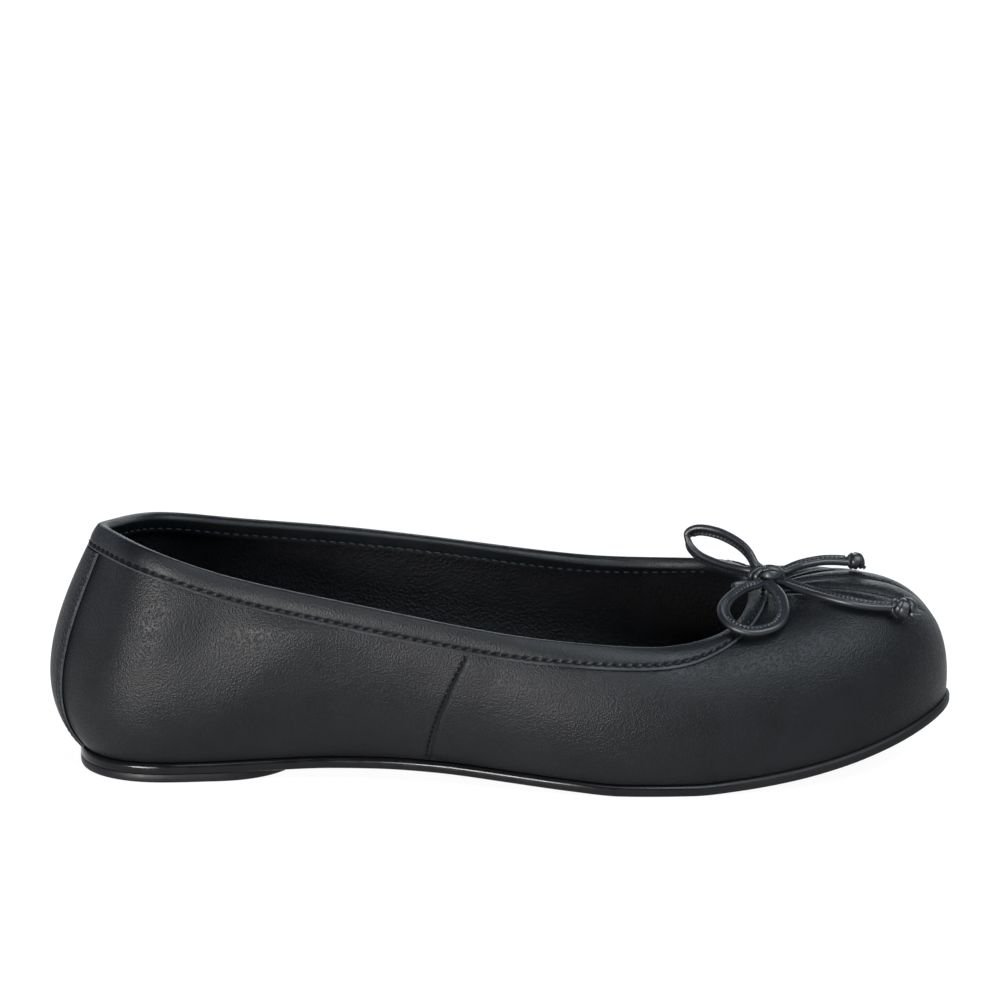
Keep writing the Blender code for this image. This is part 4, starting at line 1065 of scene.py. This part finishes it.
def add_heel_lift():
    plan = lift_plan(90)
    rings = []
    for angle in np.radians([90.0, 60.0, 30.0, 0.0]):
        edge = inset_plan(plan, SOLE_BEVEL * (1.0 - math.cos(angle)))
        rings.append(np.column_stack([edge, np.full(len(plan), SOLE_BEVEL * (1.0 - math.sin(angle)))]))
    rings.append(np.column_stack([plan, underside(plan[:, 0]) - FIT]))
    rings.append(np.column_stack([inset_plan(plan, 0.15 * MM), underside(plan[:, 0]) + 0.02 * MM]))
    pad("heel_lift_rubber", rings, "heel_lift", LIFT_RUBBER)


def add_insole():
    """The thin sock board, with a rounded edge."""
    places = paired_places(160)
    inset = SOLE_LEDGE + UPPER_WALL + FIT
    base = OUTSOLE_THICKNESS + FIT
    rings = [outline_at(places, inset, base), outline_at(places, inset, base + 0.6 * INSOLE_THICKNESS)]
    for angle in np.radians([30.0, 60.0, 90.0]):
        soft = 0.4 * INSOLE_THICKNESS
        rings.append(outline_at(places, inset + 3.0 * soft * (1.0 - math.cos(angle)),
                                base + 0.6 * INSOLE_THICKNESS + soft * math.sin(angle)))
    pad("insole_sock", rings, "insole", LINING)


# Floor and light
def add_floor():
    mesh = bpy.data.meshes.new("floor")
    far = 14.0
    corners = ((-far, -far), (far, -far), (far, far), (-far, far))
    mesh.from_pydata([(x, y, -0.2 * MM) for x, y in corners], [], [(0, 1, 2, 3)])
    n = Nodes("floor")
    n.set(n.shader, Base_Color=(0.10, 0.10, 0.10, 1.0), Roughness=0.9, Specular_IOR_Level=0.1)
    n.set(n.shader, Emission_Color=(1.0, 1.0, 1.0, 1.0), Emission_Strength=0.93)
    mesh.materials.append(n.material)
    floor = bpy.data.objects.new("floor", mesh)
    bpy.context.scene.collection.objects.link(floor)


def add_softbox(name, direction, distance, size, radiance, colour):
    """A square light that faces the shoe, as bright as its radiance from everywhere."""
    direction = Vector(direction).normalized()
    data = bpy.data.lights.new(name, "AREA")
    data.shape = "RECTANGLE"
    data.size, data.size_y = size
    data.energy = radiance * math.pi * size[0] * size[1]
    data.color = colour
    light = bpy.data.objects.new(name, data)
    light.location = direction * distance
    light.rotation_euler = (-direction).to_track_quat("-Z", "Y").to_euler()
    bpy.context.scene.collection.objects.link(light)


HORIZON = (0.76, 0.86, 0.98)
MIDDLE_SKY = (0.21, 0.24, 0.28)
ZENITH = (0.055, 0.06, 0.065)
MIDDLE_AT, ZENITH_AT = 0.32, 0.85
BACK_GLOW = 0.28


def add_surroundings():
    """A pale studio: bright low down behind the floor's edge, dim overhead."""
    world = bpy.data.worlds.new("studio")
    world.use_nodes = True
    tree = world.node_tree
    place = tree.nodes.new("ShaderNodeTexCoord")
    split = tree.nodes.new("ShaderNodeSeparateXYZ")
    ramp = tree.nodes.new("ShaderNodeValToRGB")
    tree.links.new(place.outputs["Generated"], split.inputs["Vector"])
    tilt = tree.nodes.new("ShaderNodeMath")
    tilt.operation = "MULTIPLY_ADD"
    tilt.inputs[1].default_value = -BACK_GLOW
    tree.links.new(split.outputs["Y"], tilt.inputs[0])
    tree.links.new(split.outputs["Z"], tilt.inputs[2])
    tree.links.new(tilt.outputs["Value"], ramp.inputs["Fac"])
    tree.links.new(ramp.outputs["Color"], tree.nodes["Background"].inputs["Color"])
    stops = ramp.color_ramp.elements
    stops[0].position, stops[0].color = 0.0, (*HORIZON, 1.0)
    stops[1].position, stops[1].color = ZENITH_AT, (*ZENITH, 1.0)
    middle = stops.new(MIDDLE_AT)
    middle.color = (*MIDDLE_SKY, 1.0)
    bpy.context.scene.world = world


add_camera()
add_bow()
add_upper()
add_binding()
add_backstay()
add_seam_stitches()
add_outsole()
add_heel_lift()
add_insole()
add_floor()
add_surroundings()
add_softbox("key", (-0.50, -0.86, 0.13), 1.20, (0.44, 0.36), 72.0, (1.0, 0.985, 0.975))
add_softbox("overhead", (0.37, -0.42, 0.83), 1.20, (0.85, 0.85), 12.0, (0.86, 0.94, 1.0))
add_softbox("rim", (0.30, 0.90, 0.30), 1.50, (1.5, 0.4), 4.0, (0.92, 0.97, 1.0))

bpy.context.scene.view_settings.view_transform = "Standard"
